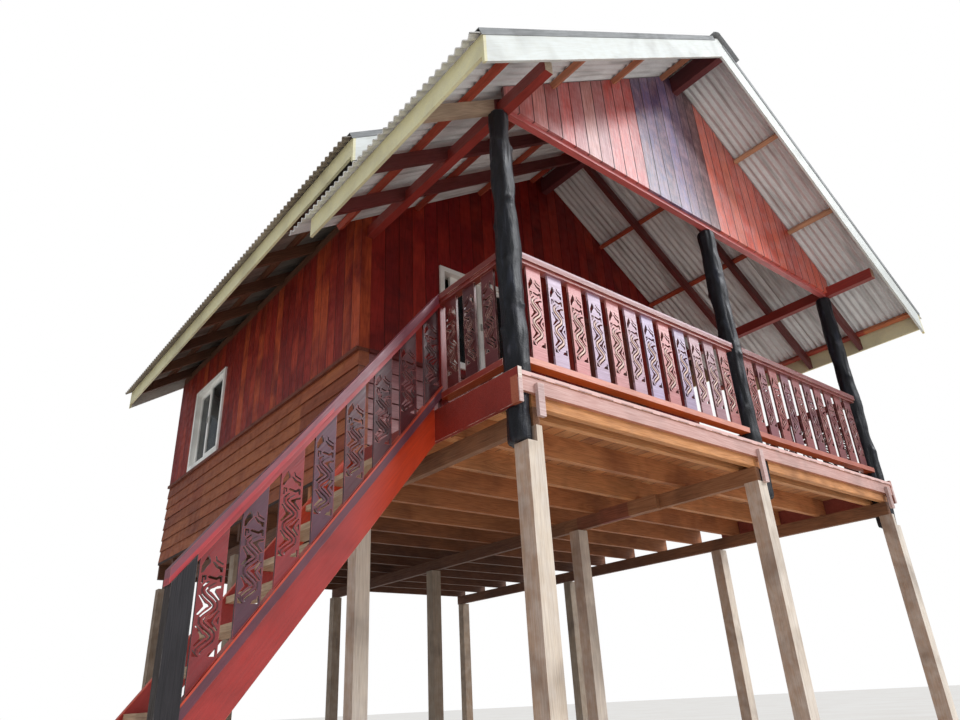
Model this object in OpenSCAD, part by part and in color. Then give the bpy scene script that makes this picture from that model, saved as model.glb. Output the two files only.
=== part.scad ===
// Timber stilt house: open porch with carved boards, one closed room, a side stair and a stepped gable roof.
// Millimetres. X runs along the front to the right, Y runs to the back, Z runs up from the ground.
// The origin is the middle of the middle front stilt's foot.

/* [Stilts] */
// Side of a square stilt
stilt_w = 110; // [90:5:140]
// From the middle stilts to the left ones
bay_left = 2200; // [2100:20:2300]
// From the middle stilts to the right ones
bay_right = 2120; // [2060:20:2300]
// From the front stilts to the second row
porch_depth = 1760; // [1640:20:1900]
// Depth of each of the room's two bays
room_bay = 2215; // [2100:15:2400]

/* [Floor] */
// Risers from the ground to the deck
riser_count = 11; // [10:1:12]
// Height of one riser
riser_h = 198; // [185:1:205]
// Depth of the three long beams
beam_h = 110; // [90:5:130]
// Width of the three long beams
beam_w = 50; // [40:2:54]
// Depth of a joist
joist_h = 160; // [130:5:180]
// Width of a joist
joist_w = 45; // [38:1:55]
// Number of joists
joist_count = 14; // [11:1:16]
// Thickness of the floor boards
floor_t = 25; // [20:1:32]
// Width of a floor board
floor_board = 122; // [90:2:160]
// Thickness of the front edge board
rim_t = 25; // [20:1:30]
// Depth of the front edge board below the floor boards
rim_h = 90; // [80:2:120]
// Depth of the side edge boards
side_rim_h = 204; // [180:4:230]
// How far the side edge boards stand out from the stilts
side_rim_out = 46; // [40:1:56]

/* [Log posts] */
// Diameter of a log post
log_d = 158; // [140:2:180]
// Height of the log posts over the deck
log_h = 1947; // [1850:1:2050]
// How far a post's foot hangs below the deck
foot_drop = 388; // [330:4:440]
// Depth of the lap that takes a post's foot in a corner stilt
foot_t = 68; // [50:1:72]
// Knots on each log
knot_count = 11; // [5:1:15]

/* [Balustrade] */
// Height of the handrail's top over the deck
rail_top = 840; // [780:10:950]
// Width of the handrail
rail_w = 80; // [70:1:100]
// Thickness of the handrail
rail_t = 43; // [36:1:50]
// Width of the batten under the handrail
batten_w = 56; // [44:2:64]
// Depth of the batten under the handrail
batten_h = 23; // [18:1:30]
// Height of the bottom rail's underside over the deck
low_rail_z = 94; // [60:2:110]
// Depth of the bottom rail
low_rail_h = 40; // [34:1:50]
// Width of the bottom rail
low_rail_w = 70; // [56:2:80]
// Width of a carved board
carved_w = 118; // [110:1:126]
// Thickness of a carved board
carved_t = 15; // [12:1:22]
// Least distance between the middles of two carved boards
carved_pitch = 180; // [165:1:195]
// Width of the carved ribbon
ribbon_w = 13; // [11:1:16]

/* [Stair] */
// Depth of one step from edge to edge
going = 156; // [145:0.5:175]
// Clear width between the two strings
stair_clear = 950; // [880:5:1020]
// Thickness of a string
string_t = 40; // [32:1:48]
// Depth of a string, square to its slope
string_h = 155; // [140:1:180]
// Height of a string's top over the line of the step edges, straight up
string_over = 52; // [40:1:70]
// Depth of the sloping rail on the near string
cap_t = 46; // [36:1:56]
// Thickness of a step
tread_t = 38; // [30:1:45]
// Depth of a step from front to back
tread_d = 158; // [150:1:170]
// Width of the bottom newel
newel_w = 100; // [80:5:120]

/* [Room] */
// Thickness of the walls
wall_t = 100; // [80:5:130]
// Lapped boards at the foot of a wall
lap_count = 7; // [6:1:7]
// Height of a lapped board that shows
lap_h = 125; // [115:1:130]
// How far each lapped board stands out at its foot
lap_step = 12; // [8:1:18]
// Height of the ledge over the lapped boards
ledge_h = 32; // [26:1:40]
// Width of an upright wall board
wall_board = 138; // [110:2:170]
// Width of a window
window_w = 917; // [800:1:1000]
// Height of a window
window_h = 975; // [900:1:1000]
// Height of the porch window's foot over the deck
porch_sill = 961; // [930:1:980]
// Width of the entrance door
door_w = 850; // [780:10:900]
// Height of the entrance door
door_h = 1920; // [1850:10:1960]

/* [Roof] */
// Half the width of the roof between its eaves
eave_half = 2836; // [2760:4:2900]
// Rise of the roof for each unit of run
roof_slope = 0.6855; // [0.64:0.005:0.72]
// How far the room's roof is above the porch roof
roof_lift = 345; // [320:5:400]
// How far the porch roof stands out in front of the stilts
front_overhang = 563; // [450:1:620]
// How far the room's roof stands out in front of its wall
step_overhang = 855; // [700:5:950]
// How far the room's roof stands out behind the back wall
back_overhang = 122; // [80:2:300]
// Distance from wave to wave of the roof sheets
wave_pitch = 63.5; // [60:0.5:76]
// Depth of a wave of the roof sheets
wave_h = 20; // [14:1:24]
// Thickness of the roof sheets
sheet_t = 6; // [5:0.5:8]
// How far the sheets hang over the eaves
sheet_over = 70; // [40:5:100]
// Depth of a purlin
purlin_h = 45; // [38:1:60]
// Width of a purlin
purlin_w = 42; // [36:1:60]
// Depth of a rafter
rafter_h = 95; // [85:1:105]
// Width of a rafter
rafter_w = 45; // [38:1:55]
// Width of a plate
plate_w = 66; // [52:1:72]
// Depth of a plate
plate_h = 100; // [90:2:112]
// How far the front plates stand out in front of the posts
plate_out = 440; // [300:10:500]
// Depth of the tie beam
tie_h = 100; // [80:5:120]
// Width of the tie beam
tie_w = 50; // [40:2:64]
// How far the plates reach up into the rafters
rafter_seat = 55; // [40:1:62]
// Depth of a ridge beam
ridge_beam_h = 185; // [150:5:200]
// Width of a ridge beam
ridge_beam_w = 70; // [56:2:80]
// Depth of the boards along the slopes
rake_h = 180; // [150:5:200]
// Depth of the boards along the eaves
eave_board_h = 165; // [120:5:190]
// Thickness of the roof's edge boards
edge_t = 20; // [16:1:26]

/* [Hidden] */
$fn = 40;

// Seat clearance between pieces
fit = 0.3;

// Levels
deck_z = riser_count * riser_h;
joist_z = deck_z - floor_t - joist_h;
beam_z = joist_z - beam_h;
log_top_z = deck_z + log_h;

// Plan of the floor
left_x = -bay_left - stilt_w / 2;
right_x = bay_right + stilt_w / 2;
front_y = -60;
room_y = porch_depth - 25;
back_y = porch_depth + 2 * room_bay + 64;
rows = [0, porch_depth, porch_depth + room_bay, porch_depth + 2 * room_bay];
columns = [-bay_left, 0, bay_right];

// Log posts stand beside or over the front stilts
log_r = log_d / 2;
log_y = 35;
log_left_x = left_x + 45;
log_mid_x = stilt_w / 2 + log_r + 0.5;
log_right_x = right_x - 25;
plate_left_x = log_left_x + 27;
plate_right_x = log_right_x + 10;

// Walls
wall_left_x = left_x - 15;
wall_right_x = right_x + 15;
ledge_z = deck_z + lap_count * lap_h + ledge_h;

// Roof planes
pitch = atan(roof_slope);
slope_len = eave_half / cos(pitch);
purlin_v = purlin_h / cos(pitch);
rafter_v = rafter_h / cos(pitch);
ridge_z = log_top_z + plate_h - roof_slope * plate_left_x + purlin_v + rafter_v - rafter_seat;
room_plate_top = under(bay_left + stilt_w / 2 + 15 - wall_t, roof_lift) - purlin_v - rafter_v - 22;
room_plate_z = room_plate_top - plate_h;
purlin_left = [350, 1115, 1880, 2645];
purlin_right = [40, 1205, 1970];

// Height of the underside of the roof sheets
function under(x, lift) = ridge_z + lift - roof_slope * abs(x);

// Draws a shape given in X and Z, from y0 towards the back
module xz_prism(y0, w) {
    translate([0, y0 + w, 0]) rotate([90, 0, 0]) linear_extrude(height = w) children();
}

// Draws a shape given in Y and Z, from x0 to the right
module yz_prism(x0, w) {
    translate([x0, 0, 0]) rotate([90, 0, 90]) linear_extrude(height = w) children();
}

module box(low, high) {
    translate(low) cube(high - low);
}

// One side of the roof: x runs down the slope from the ridge, z is square to it
module on_slope(side, lift) {
    mirror([side < 0 ? 1 : 0, 0, 0]) translate([0, 0, ridge_z + lift]) rotate([0, pitch, 0]) children();
}

// Flat board floor or wall seen from its end, with a groove at each joint
function board_edge(length, board, groove, t) = [for (i = [1 : floor(length / board - 0.3)])
    each [[i * board - groove, t], [i * board, t - groove], [i * board + groove, t]]];

module board_profile(length, board, t, groove = 3) {
    polygon(concat([[0, 0], [0, t]], board_edge(length, board, groove, t), [[length, t], [length, 0]]));
}

// Stilts

module stilt(x, y, top) {
    translate([x - stilt_w / 2, y - stilt_w / 2, 0]) cube([stilt_w, stilt_w, top]);
}

module stilt_row(y) {
    color("tan") for (x = columns) stilt(x, y, beam_z - fit);
}

// The left and right front stilts are lapped to take the squared foot of a log
module stilts_front() {
    color("tan") difference() {
        union() for (x = columns) stilt(x, 0, beam_z - fit);
        box([left_x - 1, -stilt_w, deck_z - foot_drop - fit], [left_x + foot_t + fit, stilt_w, beam_z]);
        box([right_x - foot_t - fit, -stilt_w, deck_z - foot_drop - fit], [right_x + 1, stilt_w, beam_z]);
    }
}

module stilts_second() { stilt_row(rows[1]); }
module stilts_third() { stilt_row(rows[2]); }
module stilts_back() { stilt_row(rows[3]); }

// Floor

beam_left_x = left_x + foot_t + fit;
beam_right_x = right_x - foot_t - fit - beam_w;

// A board spliced to the middle beam under the porch
splice_t = 42;
splice_y0 = porch_depth - 930;
splice_y1 = porch_depth - 330;

module floor_beams() {
    color("sienna") {
        box([-beam_w / 2 - splice_t - fit, splice_y0, beam_z - 6],
            [-beam_w / 2 - fit, splice_y1, joist_z - fit]);
        box([beam_left_x, front_y + rim_t, beam_z], [beam_left_x + beam_w - 1, back_y, joist_z - fit]);
        box([-beam_w / 2, front_y + rim_t, beam_z], [beam_w / 2, back_y, joist_z - fit]);
        box([beam_right_x + 1, front_y + rim_t, beam_z], [beam_right_x + beam_w, back_y, joist_z - fit]);
    }
}

joist_first = log_y + 60;
joist_step = (back_y - joist_w - joist_first) / (joist_count - 1);

// The foremost joist stands behind the front edge board and is cut round the posts' feet
module floor_joists() {
    color("peru") {
        for (i = [0 : joist_count - 1])
            translate([left_x, joist_first + i * joist_step, joist_z])
                cube([right_x - left_x, joist_w, joist_h - fit]);
        difference() {
            box([left_x + foot_t + fit, front_y + rim_t + fit, joist_z],
                [right_x - foot_t - fit, front_y + rim_t + joist_w, deck_z - floor_t - fit]);
            translate([log_mid_x, log_y, joist_z - 1]) cylinder(r = log_r + fit, h = joist_h + 2);
        }
    }
}

module floor_slab(x0, x1, y0, y1) {
    translate([x0, 0, deck_z - floor_t])
        xz_prism(y0, y1 - y0) board_profile(x1 - x0, floor_board, floor_t, 2);
}

log_foot_y0 = front_y + rim_t + fit;

module foot_holes() {
    for (x = [log_left_x, log_mid_x, log_right_x]) intersection() {
        translate([x, log_y, deck_z - 100]) cylinder(r = log_r + fit, h = 200);
        box([x - 200, log_foot_y0 - fit, deck_z - 100], [x + 200, 200, deck_z + 100]);
    }
}

floor_left_x = left_x - side_rim_out + rim_t + 2 + fit;
floor_right_x = right_x + side_rim_out - rim_t - 2 - fit;

module deck_floor() {
    color("burlywood") difference() {
        floor_slab(floor_left_x, floor_right_x, front_y - 8, room_y - fit);
        foot_holes();
    }
}

module room_floor() {
    color("burlywood") floor_slab(left_x - 14, right_x + 14, room_y, back_y);
}

// Short boards in front of the stilts, under the front edge board
hanger_w = 47;
hanger_t = 25;
module hanger(x, drop) {
    box([x, front_y - hanger_t, deck_z - drop], [x + hanger_w, front_y - fit, deck_z - floor_t - 35]);
}

side_rim_t = rim_t + 2;
module side_rims(grow = 0) {
    for (x = [left_x - side_rim_out, right_x + side_rim_out - side_rim_t])
        box([x - grow, front_y - 8 - grow, deck_z + 17 - side_rim_h - grow],
            [x + side_rim_t + grow, room_y - fit + grow, deck_z + 17 + grow]);
}

module deck_rims() {
    color("indianred") {
        box([floor_left_x, front_y, deck_z - floor_t - rim_h],
            [floor_right_x, front_y + rim_t, deck_z - floor_t - fit]);
        side_rims();
        hanger(left_x + 76, 250);
        hanger(0, 303);
        hanger(right_x - 76 - hanger_w, 250);
    }
}

// Log posts: a knobbly trunk, turned from a wavy line, with knots and a squared foot

log_steps = 28;
function trunk_r(h) = log_r * (0.94 - 0.05 * h / log_h) + 3.5 * sin(h * 0.55) + 2.5 * sin(h * 1.37 + 40);

module trunk(grow) {
    rotate_extrude() polygon(concat([[0, fit - grow]],
        [for (i = [0 : log_steps]) [trunk_r(i * log_h / log_steps) + grow,
            i == 0 ? fit - grow : i == log_steps ? log_h - fit + grow : i * log_h / log_steps]],
        [[0, log_h - fit + grow]]));
}

module log_body(x, turn, grow = 0) {
    translate([x, log_y, deck_z]) {
        trunk(grow);
        for (i = [0 : knot_count - 1]) {
            h = 150 + i * (log_h - 300) / knot_count;
            rotate([0, 0, turn + i * 137.5]) translate([trunk_r(h) - 16, 0, h]) sphere(d = 62 + 2 * grow);
        }
    }
}

// The round foot below the deck, with a flat front and kept between x0 and x1
module log_foot(x, x0, x1) {
    intersection() {
        translate([x, log_y, deck_z - foot_drop]) cylinder(r = log_r, h = foot_drop + 20);
        box([x0, log_foot_y0, deck_z - foot_drop], [x1, 200, deck_z + 20]);
    }
}

module log_post_left() {
    color("dimgray") difference() {
        union() {
            log_body(log_left_x, 20);
            log_foot(log_left_x, left_x - 100, left_x + foot_t);
        }
        side_rims(fit);
    }
}

module log_post_middle() {
    color("dimgray") union() {
        log_body(log_mid_x, 75);
        log_foot(log_mid_x, 0, 400);
    }
}

module log_post_right() {
    color("dimgray") difference() {
        union() {
            log_body(log_right_x, 130);
            log_foot(log_right_x, right_x - foot_t, right_x + 100);
        }
        side_rims(fit);
    }
}

// Carved boards: straight edges and plain ends, and between them a pierced ribbon that waves from side
// to side, with hooked leaves cut in its hollows, a tall leaf and curled strokes at its head and two blots
// at its foot.
// The pattern's heights are parts of the board's height; its widths are in millimetres.

carve_wave = 0.2207;
carve_first = 0.191;
carve_amp = 28;
carve_slit = 7.5;
carve_edge = carved_w / 2 - 8;

// A point beside the ribbon's middle line, at a turn of its wave and a distance square to it
function ribbon_point(side, mid, turn, off, h) = let(
    along = carve_wave * h / 360 * 57.3, across = carve_amp * sin(turn), long = norm([across, along]))
    [side * (-carve_amp * cos(turn) + off * along / long),
        mid * h + carve_wave * turn / 360 * h - off * across / long];

// A slit along the ribbon, on one side of it, from one turn of the wave to another;
// at turn 0 the ribbon swings furthest away from that side
function ribbon_slit(side, mid, a0, a1, h) = let(n = 10) concat(
    [for (i = [0 : n]) ribbon_point(side, mid, a0 + (a1 - a0) * i / n, ribbon_w / 2, h)],
    [for (i = [n : -1 : 0]) ribbon_point(side, mid, a0 + (a1 - a0) * i / n, ribbon_w / 2 + carve_slit, h)]);

// A hooked leaf in a hollow: two strokes from the board's edge that meet in a barb near the ribbon
function hollow_leaf(side, mid, h) = [for (p = [[carve_edge, 0.074], [carve_edge - 9, 0.076], [14, 0.018],
    [2, 0.012], [-4, -0.004], [8, -0.014], [carve_edge - 10, -0.07], [carve_edge, -0.066], [24, -0.008],
    [28, 0.014]])
    [side * p[0], (mid + p[1]) * h]];

// A small blot in the mouth of the leaf
function leaf_blot(side, mid, h) = [
    for (p = [[carve_edge, 0.034], [carve_edge - 16, 0.006], [carve_edge, -0.028]])
    [side * p[0], (mid + p[1]) * h]];

function head_shapes(h) = [for (q = [
    [[-24, 0.894], [-13, 0.862], [-12, 0.836], [-29, 0.8], [-40, 0.763], [-51, 0.757], [-50, 0.81],
        [-37, 0.857]],
    [[6, 0.892], [14, 0.884], [18, 0.862], [48, 0.836], [46, 0.822], [12, 0.85]],
    [[-6, 0.846], [4, 0.846], [26, 0.816], [48, 0.806], [48, 0.77], [36, 0.768], [30, 0.79], [14, 0.8]],
    [[-45, 0.742], [-24, 0.742], [-24, 0.706], [-32, 0.706], [-32, 0.726], [-37, 0.726], [-37, 0.682],
        [-45, 0.682]],
    [[-20, 0.73], [-10, 0.742], [22, 0.73], [36, 0.748], [48, 0.744], [48, 0.694], [38, 0.694], [36, 0.722],
        [22, 0.708], [-12, 0.72]],
    [[51, 0.566], [41, 0.562], [8, 0.618], [-4, 0.628], [2, 0.644], [14, 0.65], [34, 0.668], [51, 0.672],
        [51, 0.654], [28, 0.646], [24, 0.624]],
    [[-51, 0.164], [-22, 0.164], [-36, 0.186], [-51, 0.216]],
    [[51, 0.164], [12, 0.164], [22, 0.19], [40, 0.2], [42, 0.222], [51, 0.222]]])
    [for (p = q) [p[0], p[1] * h]]];

module carved_holes(h) {
    for (i = [0, 1]) let(mid = carve_first + carve_wave * (i + 0.5)) {
        polygon(ribbon_slit(-1, mid, -150, 150, h));
        polygon(hollow_leaf(-1, mid, h));
    }
    for (i = [1, 2]) let(mid = carve_first + carve_wave * i) {
        polygon(ribbon_slit(1, mid, -150, i == 1 ? 150 : 60, h));
        if (i == 1) polygon(leaf_blot(1, mid, h));
        if (i == 1) polygon(hollow_leaf(1, mid, h));
    }
    polygon(ribbon_slit(1, carve_first, -20, 150, h));
    polygon(ribbon_slit(-1, carve_first + 2.5 * carve_wave, -150, -96, h));
    for (q = head_shapes(h)) polygon(q);
}

// A board of height h; the pattern fills its own height and starts at a chosen level
module carved_board(h, pattern_h, pattern_z) {
    translate([0, carved_t / 2, 0]) rotate([90, 0, 0]) linear_extrude(height = carved_t) difference() {
        translate([-carved_w / 2, 0]) square([carved_w, h]);
        translate([0, pattern_z]) carved_holes(pattern_h);
    }
}

// Rails from x0 to x1 along X; the handrail runs on over the post at the far end by a given length
module rails(x0, x1, over = 0) {
    box([x0, -rail_w / 2, rail_top - rail_t], [x1 + over, rail_w / 2, rail_top]);
    box([x0, -batten_w / 2, rail_top - rail_t - batten_h], [x1, batten_w / 2, rail_top - rail_t + 1]);
    box([x0, -low_rail_w / 2, low_rail_z], [x1, low_rail_w / 2, low_rail_z + low_rail_h]);
}

// Carved boards spread evenly between x0 and x1, standing in the rails
module boards(x0, x1) {
    h = rail_top - rail_t - batten_h - low_rail_z - low_rail_h;
    n = floor((x1 - x0 - carved_w - 50) / carved_pitch) + 1;
    step = (x1 - x0 - carved_w - 78) / (n - 1);
    for (i = [0 : n - 1]) translate([x0 + 39 + carved_w / 2 + i * step, 0, low_rail_z + low_rail_h - 1])
        carved_board(h + 2, h, 1);
}

rail_y = 23.5;
side_rail_x = 22.5;

module front_balustrade(x0, x1) {
    translate([0, rail_y, deck_z]) boards(x0 + log_r, x1 - log_r);
}

module front_balustrade_left() {
    color("firebrick") union() {
        front_balustrade(log_left_x, log_mid_x);
        difference() {
            translate([0, rail_y, deck_z]) rails(log_left_x + 30, log_mid_x - 30);
            log_body(log_left_x, 20, fit);
            log_body(log_mid_x, 75, fit);
        }
    }
}

module front_balustrade_right() {
    color("firebrick") union() {
        front_balustrade(log_mid_x, log_right_x);
        difference() {
            translate([0, rail_y, deck_z]) rails(log_mid_x + 30, log_right_x - 30);
            log_body(log_mid_x, 75, fit);
            log_body(log_right_x, 130, fit);
        }
    }
}

module side_balustrade_left() {
    x = left_x + side_rail_x;
    color("firebrick") union() {
        translate([x, 0, deck_z]) rotate([0, 0, 90]) boards(log_y + log_r, newel_top_y - fit);
        difference() {
            translate([x, 0, deck_z]) rotate([0, 0, 90])
                rails(log_y + 30, newel_top_y - fit, stair_mid_y + rail_w / 2 - newel_top_y + fit);
            log_body(log_left_x, 20, fit);
        }
    }
}

module side_balustrade_right() {
    x = right_x - side_rail_x;
    color("firebrick") union() {
        translate([x, 0, deck_z]) rotate([0, 0, 90]) boards(log_y + log_r, room_y - fit);
        difference() {
            translate([x, 0, deck_z]) rotate([0, 0, 90]) rails(log_y + 30, room_y - fit);
            log_body(log_right_x, 130, fit);
        }
    }
}

// Stair: it leaves the deck's left edge and goes down to the left

stair_slope = riser_h / going;
stair_x = left_x - side_rim_out - fit;
stair_y1 = room_y;
stair_y0 = stair_y1 - 2 * string_t - stair_clear;
stair_v = sqrt(1 + stair_slope * stair_slope);
string_v = string_h * stair_v;
cap_v = cap_t * stair_v;
tread_nose = string_over - 10;

// The stair's balustrade stands over the near string and ends at the slim newel on the deck
stair_mid_y = stair_y0 + 5;
newel_top_w = 46;
newel_top_y = stair_mid_y - newel_top_w / 2;
newel_d = string_t + 45;

// Height of the line of the step edges, run is measured from the deck's edge
function nosing(run) = deck_z - stair_slope * run;

module string_shape() {
    top_end = (deck_z + string_over) / stair_slope;
    low_end = (deck_z + string_over - string_v) / stair_slope;
    polygon([[stair_x, nosing(0) + string_over], [stair_x, nosing(0) + string_over - string_v],
        [stair_x - low_end, 0], [stair_x - top_end, 0]]);
}

newel_run = deck_z / stair_slope - 328.6;
newel_x = stair_x - newel_run;

// The near string is cut round the bottom newel
module stair_strings() {
    color("orangered") {
        difference() {
            xz_prism(stair_y0, string_t) string_shape();
            box([newel_x - newel_w / 2 - fit, stair_y0 - 1, -1],
                [newel_x + newel_w / 2 + fit, stair_y0 + string_t + 1, deck_z]);
        }
        xz_prism(stair_y1 - string_t, string_t) string_shape();
    }
}

module stair_treads() {
    color("wheat") for (i = [1 : riser_count - 1]) {
        run = (deck_z + tread_nose - i * riser_h) / stair_slope;
        translate([stair_x - run, stair_y0 + string_t + fit, i * riser_h - tread_t])
            cube([min(tread_d, run), stair_clear - 2 * fit, tread_t]);
    }
}

// A band along the slope between two heights over the line of the step edges
module slope_band(y0, w, run0, run1, h0, h1) {
    xz_prism(y0, w) polygon([[stair_x - run0, nosing(run0) + h0], [stair_x - run1, nosing(run1) + h0],
        [stair_x - run1, nosing(run1) + h1], [stair_x - run0, nosing(run0) + h1]]);
}

// The sloping handrail ends against the level one, the rest against the slim newel
rail_end_run = stair_x - (left_x + side_rail_x - rail_w / 2 - fit);
newel_end_run = stair_x - (left_x - fit);
newel_low_run = newel_run - newel_w / 2 - fit;
stair_rail_top = rail_top + stair_slope * rail_end_run;
rail_v = rail_t * stair_v;
batten_v = batten_h * stair_v;

module stair_balustrade() {
    low = string_over + fit + cap_v;
    high = stair_rail_top - rail_v - batten_v;
    first = newel_end_run + carved_w / 2 + 4;
    last = newel_low_run - carved_w / 2 - 26;
    n = round((last - first) / carved_pitch) + 1;
    pattern_h = (high - low - carved_w * stair_slope) * 1.39;
    color("firebrick") union() {
        slope_band(stair_mid_y - low_rail_w / 2, low_rail_w, newel_end_run, newel_low_run,
            string_over + fit, low);
        slope_band(stair_mid_y - batten_w / 2, batten_w, newel_end_run, newel_low_run,
            high, high + batten_v + 1);
        slope_band(stair_mid_y - rail_w / 2, rail_w, rail_end_run, newel_run + newel_w / 2 + 6,
            high + batten_v, stair_rail_top);
        for (i = [0 : n - 1]) {
            run = first + i * (last - first) / (n - 1);
            intersection() {
                translate([stair_x - run, stair_mid_y, nosing(run) + low - 120])
                    carved_board(high - low + 240, pattern_h, (high - low) / 2 + 120 - 0.5135 * pattern_h);
                slope_band(stair_mid_y - 20, 40, newel_end_run - 60, newel_run, low - 1, high + 1);
            }
        }
    }
}

module newel_bottom() {
    y1 = stair_y0 + string_t;
    color("slategray") difference() {
        box([newel_x - newel_w / 2, y1 - newel_d, 0], [newel_x + newel_w / 2, y1, deck_z]);
        slope_band(y1 - 300, 400, 0, 2600, stair_rail_top - rail_v - fit, 4000);
    }
}

module newel_top() {
    color("firebrick") box([left_x, newel_top_y, deck_z + fit],
        [left_x + newel_top_w, newel_top_y + newel_top_w, deck_z + rail_top - rail_t - fit]);
}

// Walls: lapped boards below, a ledge, and upright boards above

lap_total = lap_count * lap_h;

// Lapped boards in section: x goes outwards from the wall's inner face
module lap_section() {
    polygon(concat([[0, 0]], [for (i = [0 : lap_count - 1])
        each [[wall_t, i * lap_h], [wall_t - lap_step, (i + 1) * lap_h]]], [[0, lap_total]]));
}

// A straight wall along local x from 0 to length, its outer face at y = 0 and its inner face at y = wall_t
module wall_lower(length) {
    translate([0, wall_t, deck_z + fit]) rotate([90, 0, 90]) linear_extrude(height = length)
        mirror([1, 0]) lap_section();
}

module wall_ledge(length) {
    box([0, -14, deck_z + lap_total + 2 * fit], [length, wall_t, ledge_z]);
}

module wall_upper(length, top) {
    translate([0, 0, ledge_z + fit]) linear_extrude(height = top - ledge_z - fit)
        translate([0, wall_t]) mirror([0, 1]) board_profile(length, wall_board, wall_t - 6);
}

side_len = back_y - room_y;
front_len = wall_right_x - wall_left_x - 2 * wall_t - 2 * fit;
wall_y = room_y;
side_top = room_plate_z - fit;
side_window_y = porch_depth + 2 * room_bay - 600;

// Local x of the left wall runs from back to front; on the right wall it runs from front to back
module on_left_wall() { translate([wall_left_x, back_y, 0]) rotate([0, 0, -90]) children(); }
module on_right_wall() { translate([wall_right_x, wall_y, 0]) rotate([0, 0, 90]) children(); }
module on_front_wall() { translate([wall_left_x + wall_t + fit, wall_y, 0]) children(); }
module on_back_wall() { translate([wall_right_x - wall_t - fit, back_y, 0]) rotate([0, 0, 180]) children(); }

left_window_at = back_y - side_window_y;
right_window_at = side_window_y - window_w - wall_y;
porch_window_at = 700;
door_at = porch_window_at + window_w + 860;

module window_hole(at, z) {
    box([at - fit, -200, z], [at + window_w + fit, wall_t + 200, z + window_h + 2 * fit]);
}

module door_hole() {
    box([door_at - 60 - fit, -200, deck_z - 10],
        [door_at + door_w + 60 + fit, wall_t + 200, deck_z + door_h + 60 + fit]);
}

module side_wall(at) {
    wall_lower(side_len);
    wall_ledge(side_len);
    difference() {
        wall_upper(side_len, side_top);
        window_hole(at, ledge_z + fit);
    }
}

module left_wall() { color("brown") on_left_wall() side_wall(left_window_at); }
module right_wall() { color("brown") on_right_wall() side_wall(right_window_at); }

// Everything above the line where the purlins lie, and the ridge beam, is cut from a gable wall
module gable_cut(lift, y0, y1) {
    big = 9000;
    xz_prism(y0, y1 - y0) polygon([[0, under(0, lift) - purlin_v - fit],
        [eave_half + 900, under(eave_half + 900, lift) - purlin_v - fit], [eave_half + 900, big],
        [-eave_half - 900, big], [-eave_half - 900, under(eave_half + 900, lift) - purlin_v - fit]]);
    w = ridge_beam_w / 2 + fit;
    box([-w, y0, ridge_z + lift - purlin_v - ridge_beam_h - fit], [w, y1, big]);
}

module front_wall() {
    color("brown") difference() {
        on_front_wall() difference() {
            union() {
                wall_lower(front_len);
                wall_ledge(front_len);
                wall_upper(front_len, ridge_z + roof_lift);
            }
            window_hole(porch_window_at, deck_z + porch_sill);
            door_hole();
        }
        gable_cut(roof_lift, wall_y - 50, wall_y + wall_t + 50);
    }
}

module back_wall() {
    color("brown") difference() {
        on_back_wall() union() {
            wall_lower(front_len);
            wall_ledge(front_len);
            wall_upper(front_len, ridge_z + roof_lift);
        }
        gable_cut(roof_lift, back_y - wall_t - 50, back_y + 50);
    }
}

// Entrance door: a plank leaf in its frame

module entrance_door() {
    color("maroon") on_front_wall() {
        z0 = deck_z + fit;
        z1 = deck_z + door_h;
        box([door_at - 60, -12, z0], [door_at, wall_t, z1 + fit]);
        box([door_at + door_w, -12, z0], [door_at + door_w + 60, wall_t, z1 + fit]);
        box([door_at - 60, -12, z1 + 2 * fit], [door_at + door_w + 60, wall_t, z1 + 60]);
        translate([door_at + fit, 60, z0]) linear_extrude(height = door_h - fit)
            mirror([0, 1]) board_profile(door_w - 2 * fit, 141, 40);
    }
}

// Windows: a frame of four boards and two sliding sashes on their own tracks

frame_w = 45;
sash_w = 46;
sash_t = 30;
glass_t = 4;
sash_len = (window_w - 2 * frame_w + sash_w) / 2;
sash_high = window_h - 2 * frame_w - 2 * fit;

module window_frame() {
    box([0, -14, 0], [window_w, wall_t, frame_w]);
    box([0, -14, window_h - frame_w], [window_w, wall_t, window_h]);
    box([0, -14, frame_w + fit], [frame_w, wall_t, window_h - frame_w - fit]);
    box([window_w - frame_w, -14, frame_w + fit], [window_w, wall_t, window_h - frame_w - fit]);
}

module sash(x, y) {
    difference() {
        box([x, y, frame_w + fit], [x + sash_len, y + sash_t, frame_w + fit + sash_high]);
        box([x + sash_w, y - 1, frame_w + fit + sash_w],
            [x + sash_len - sash_w, y + sash_t + 1, frame_w + fit + sash_high - sash_w]);
    }
}

module pane(x, y) {
    box([x + sash_w + fit, y + 13, frame_w + 2 * fit + sash_w],
        [x + sash_len - sash_w - fit, y + 13 + glass_t, frame_w + sash_high - sash_w]);
}

sash_left = frame_w + fit;
sash_right = window_w - frame_w - fit - sash_len;

module window(slid) {
    window_frame();
    sash(sash_left + slid, 8 + sash_t + 2);
    sash(sash_right, 8);
}

module panes(slid) {
    pane(sash_left + slid, 8 + sash_t + 2);
    pane(sash_right, 8);
}

porch_slid = 100;
module left_window_place() { on_left_wall() translate([left_window_at, 0, ledge_z + 2 * fit]) children(); }
module right_window_place() { on_right_wall() translate([right_window_at, 0, ledge_z + 2 * fit]) children(); }
module porch_window_place() {
    on_front_wall() translate([porch_window_at, 0, deck_z + porch_sill + fit]) children();
}

module left_window() { color("white") left_window_place() window(0); }
module right_window() { color("white") right_window_place() window(0); }
module porch_window() { color("white") porch_window_place() window(porch_slid); }

module window_glass() {
    color("darkslategray") {
        left_window_place() panes(0);
        right_window_place() panes(0);
        porch_window_place() panes(porch_slid);
    }
}

// Porch roof frame

tie_y = -22;

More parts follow.
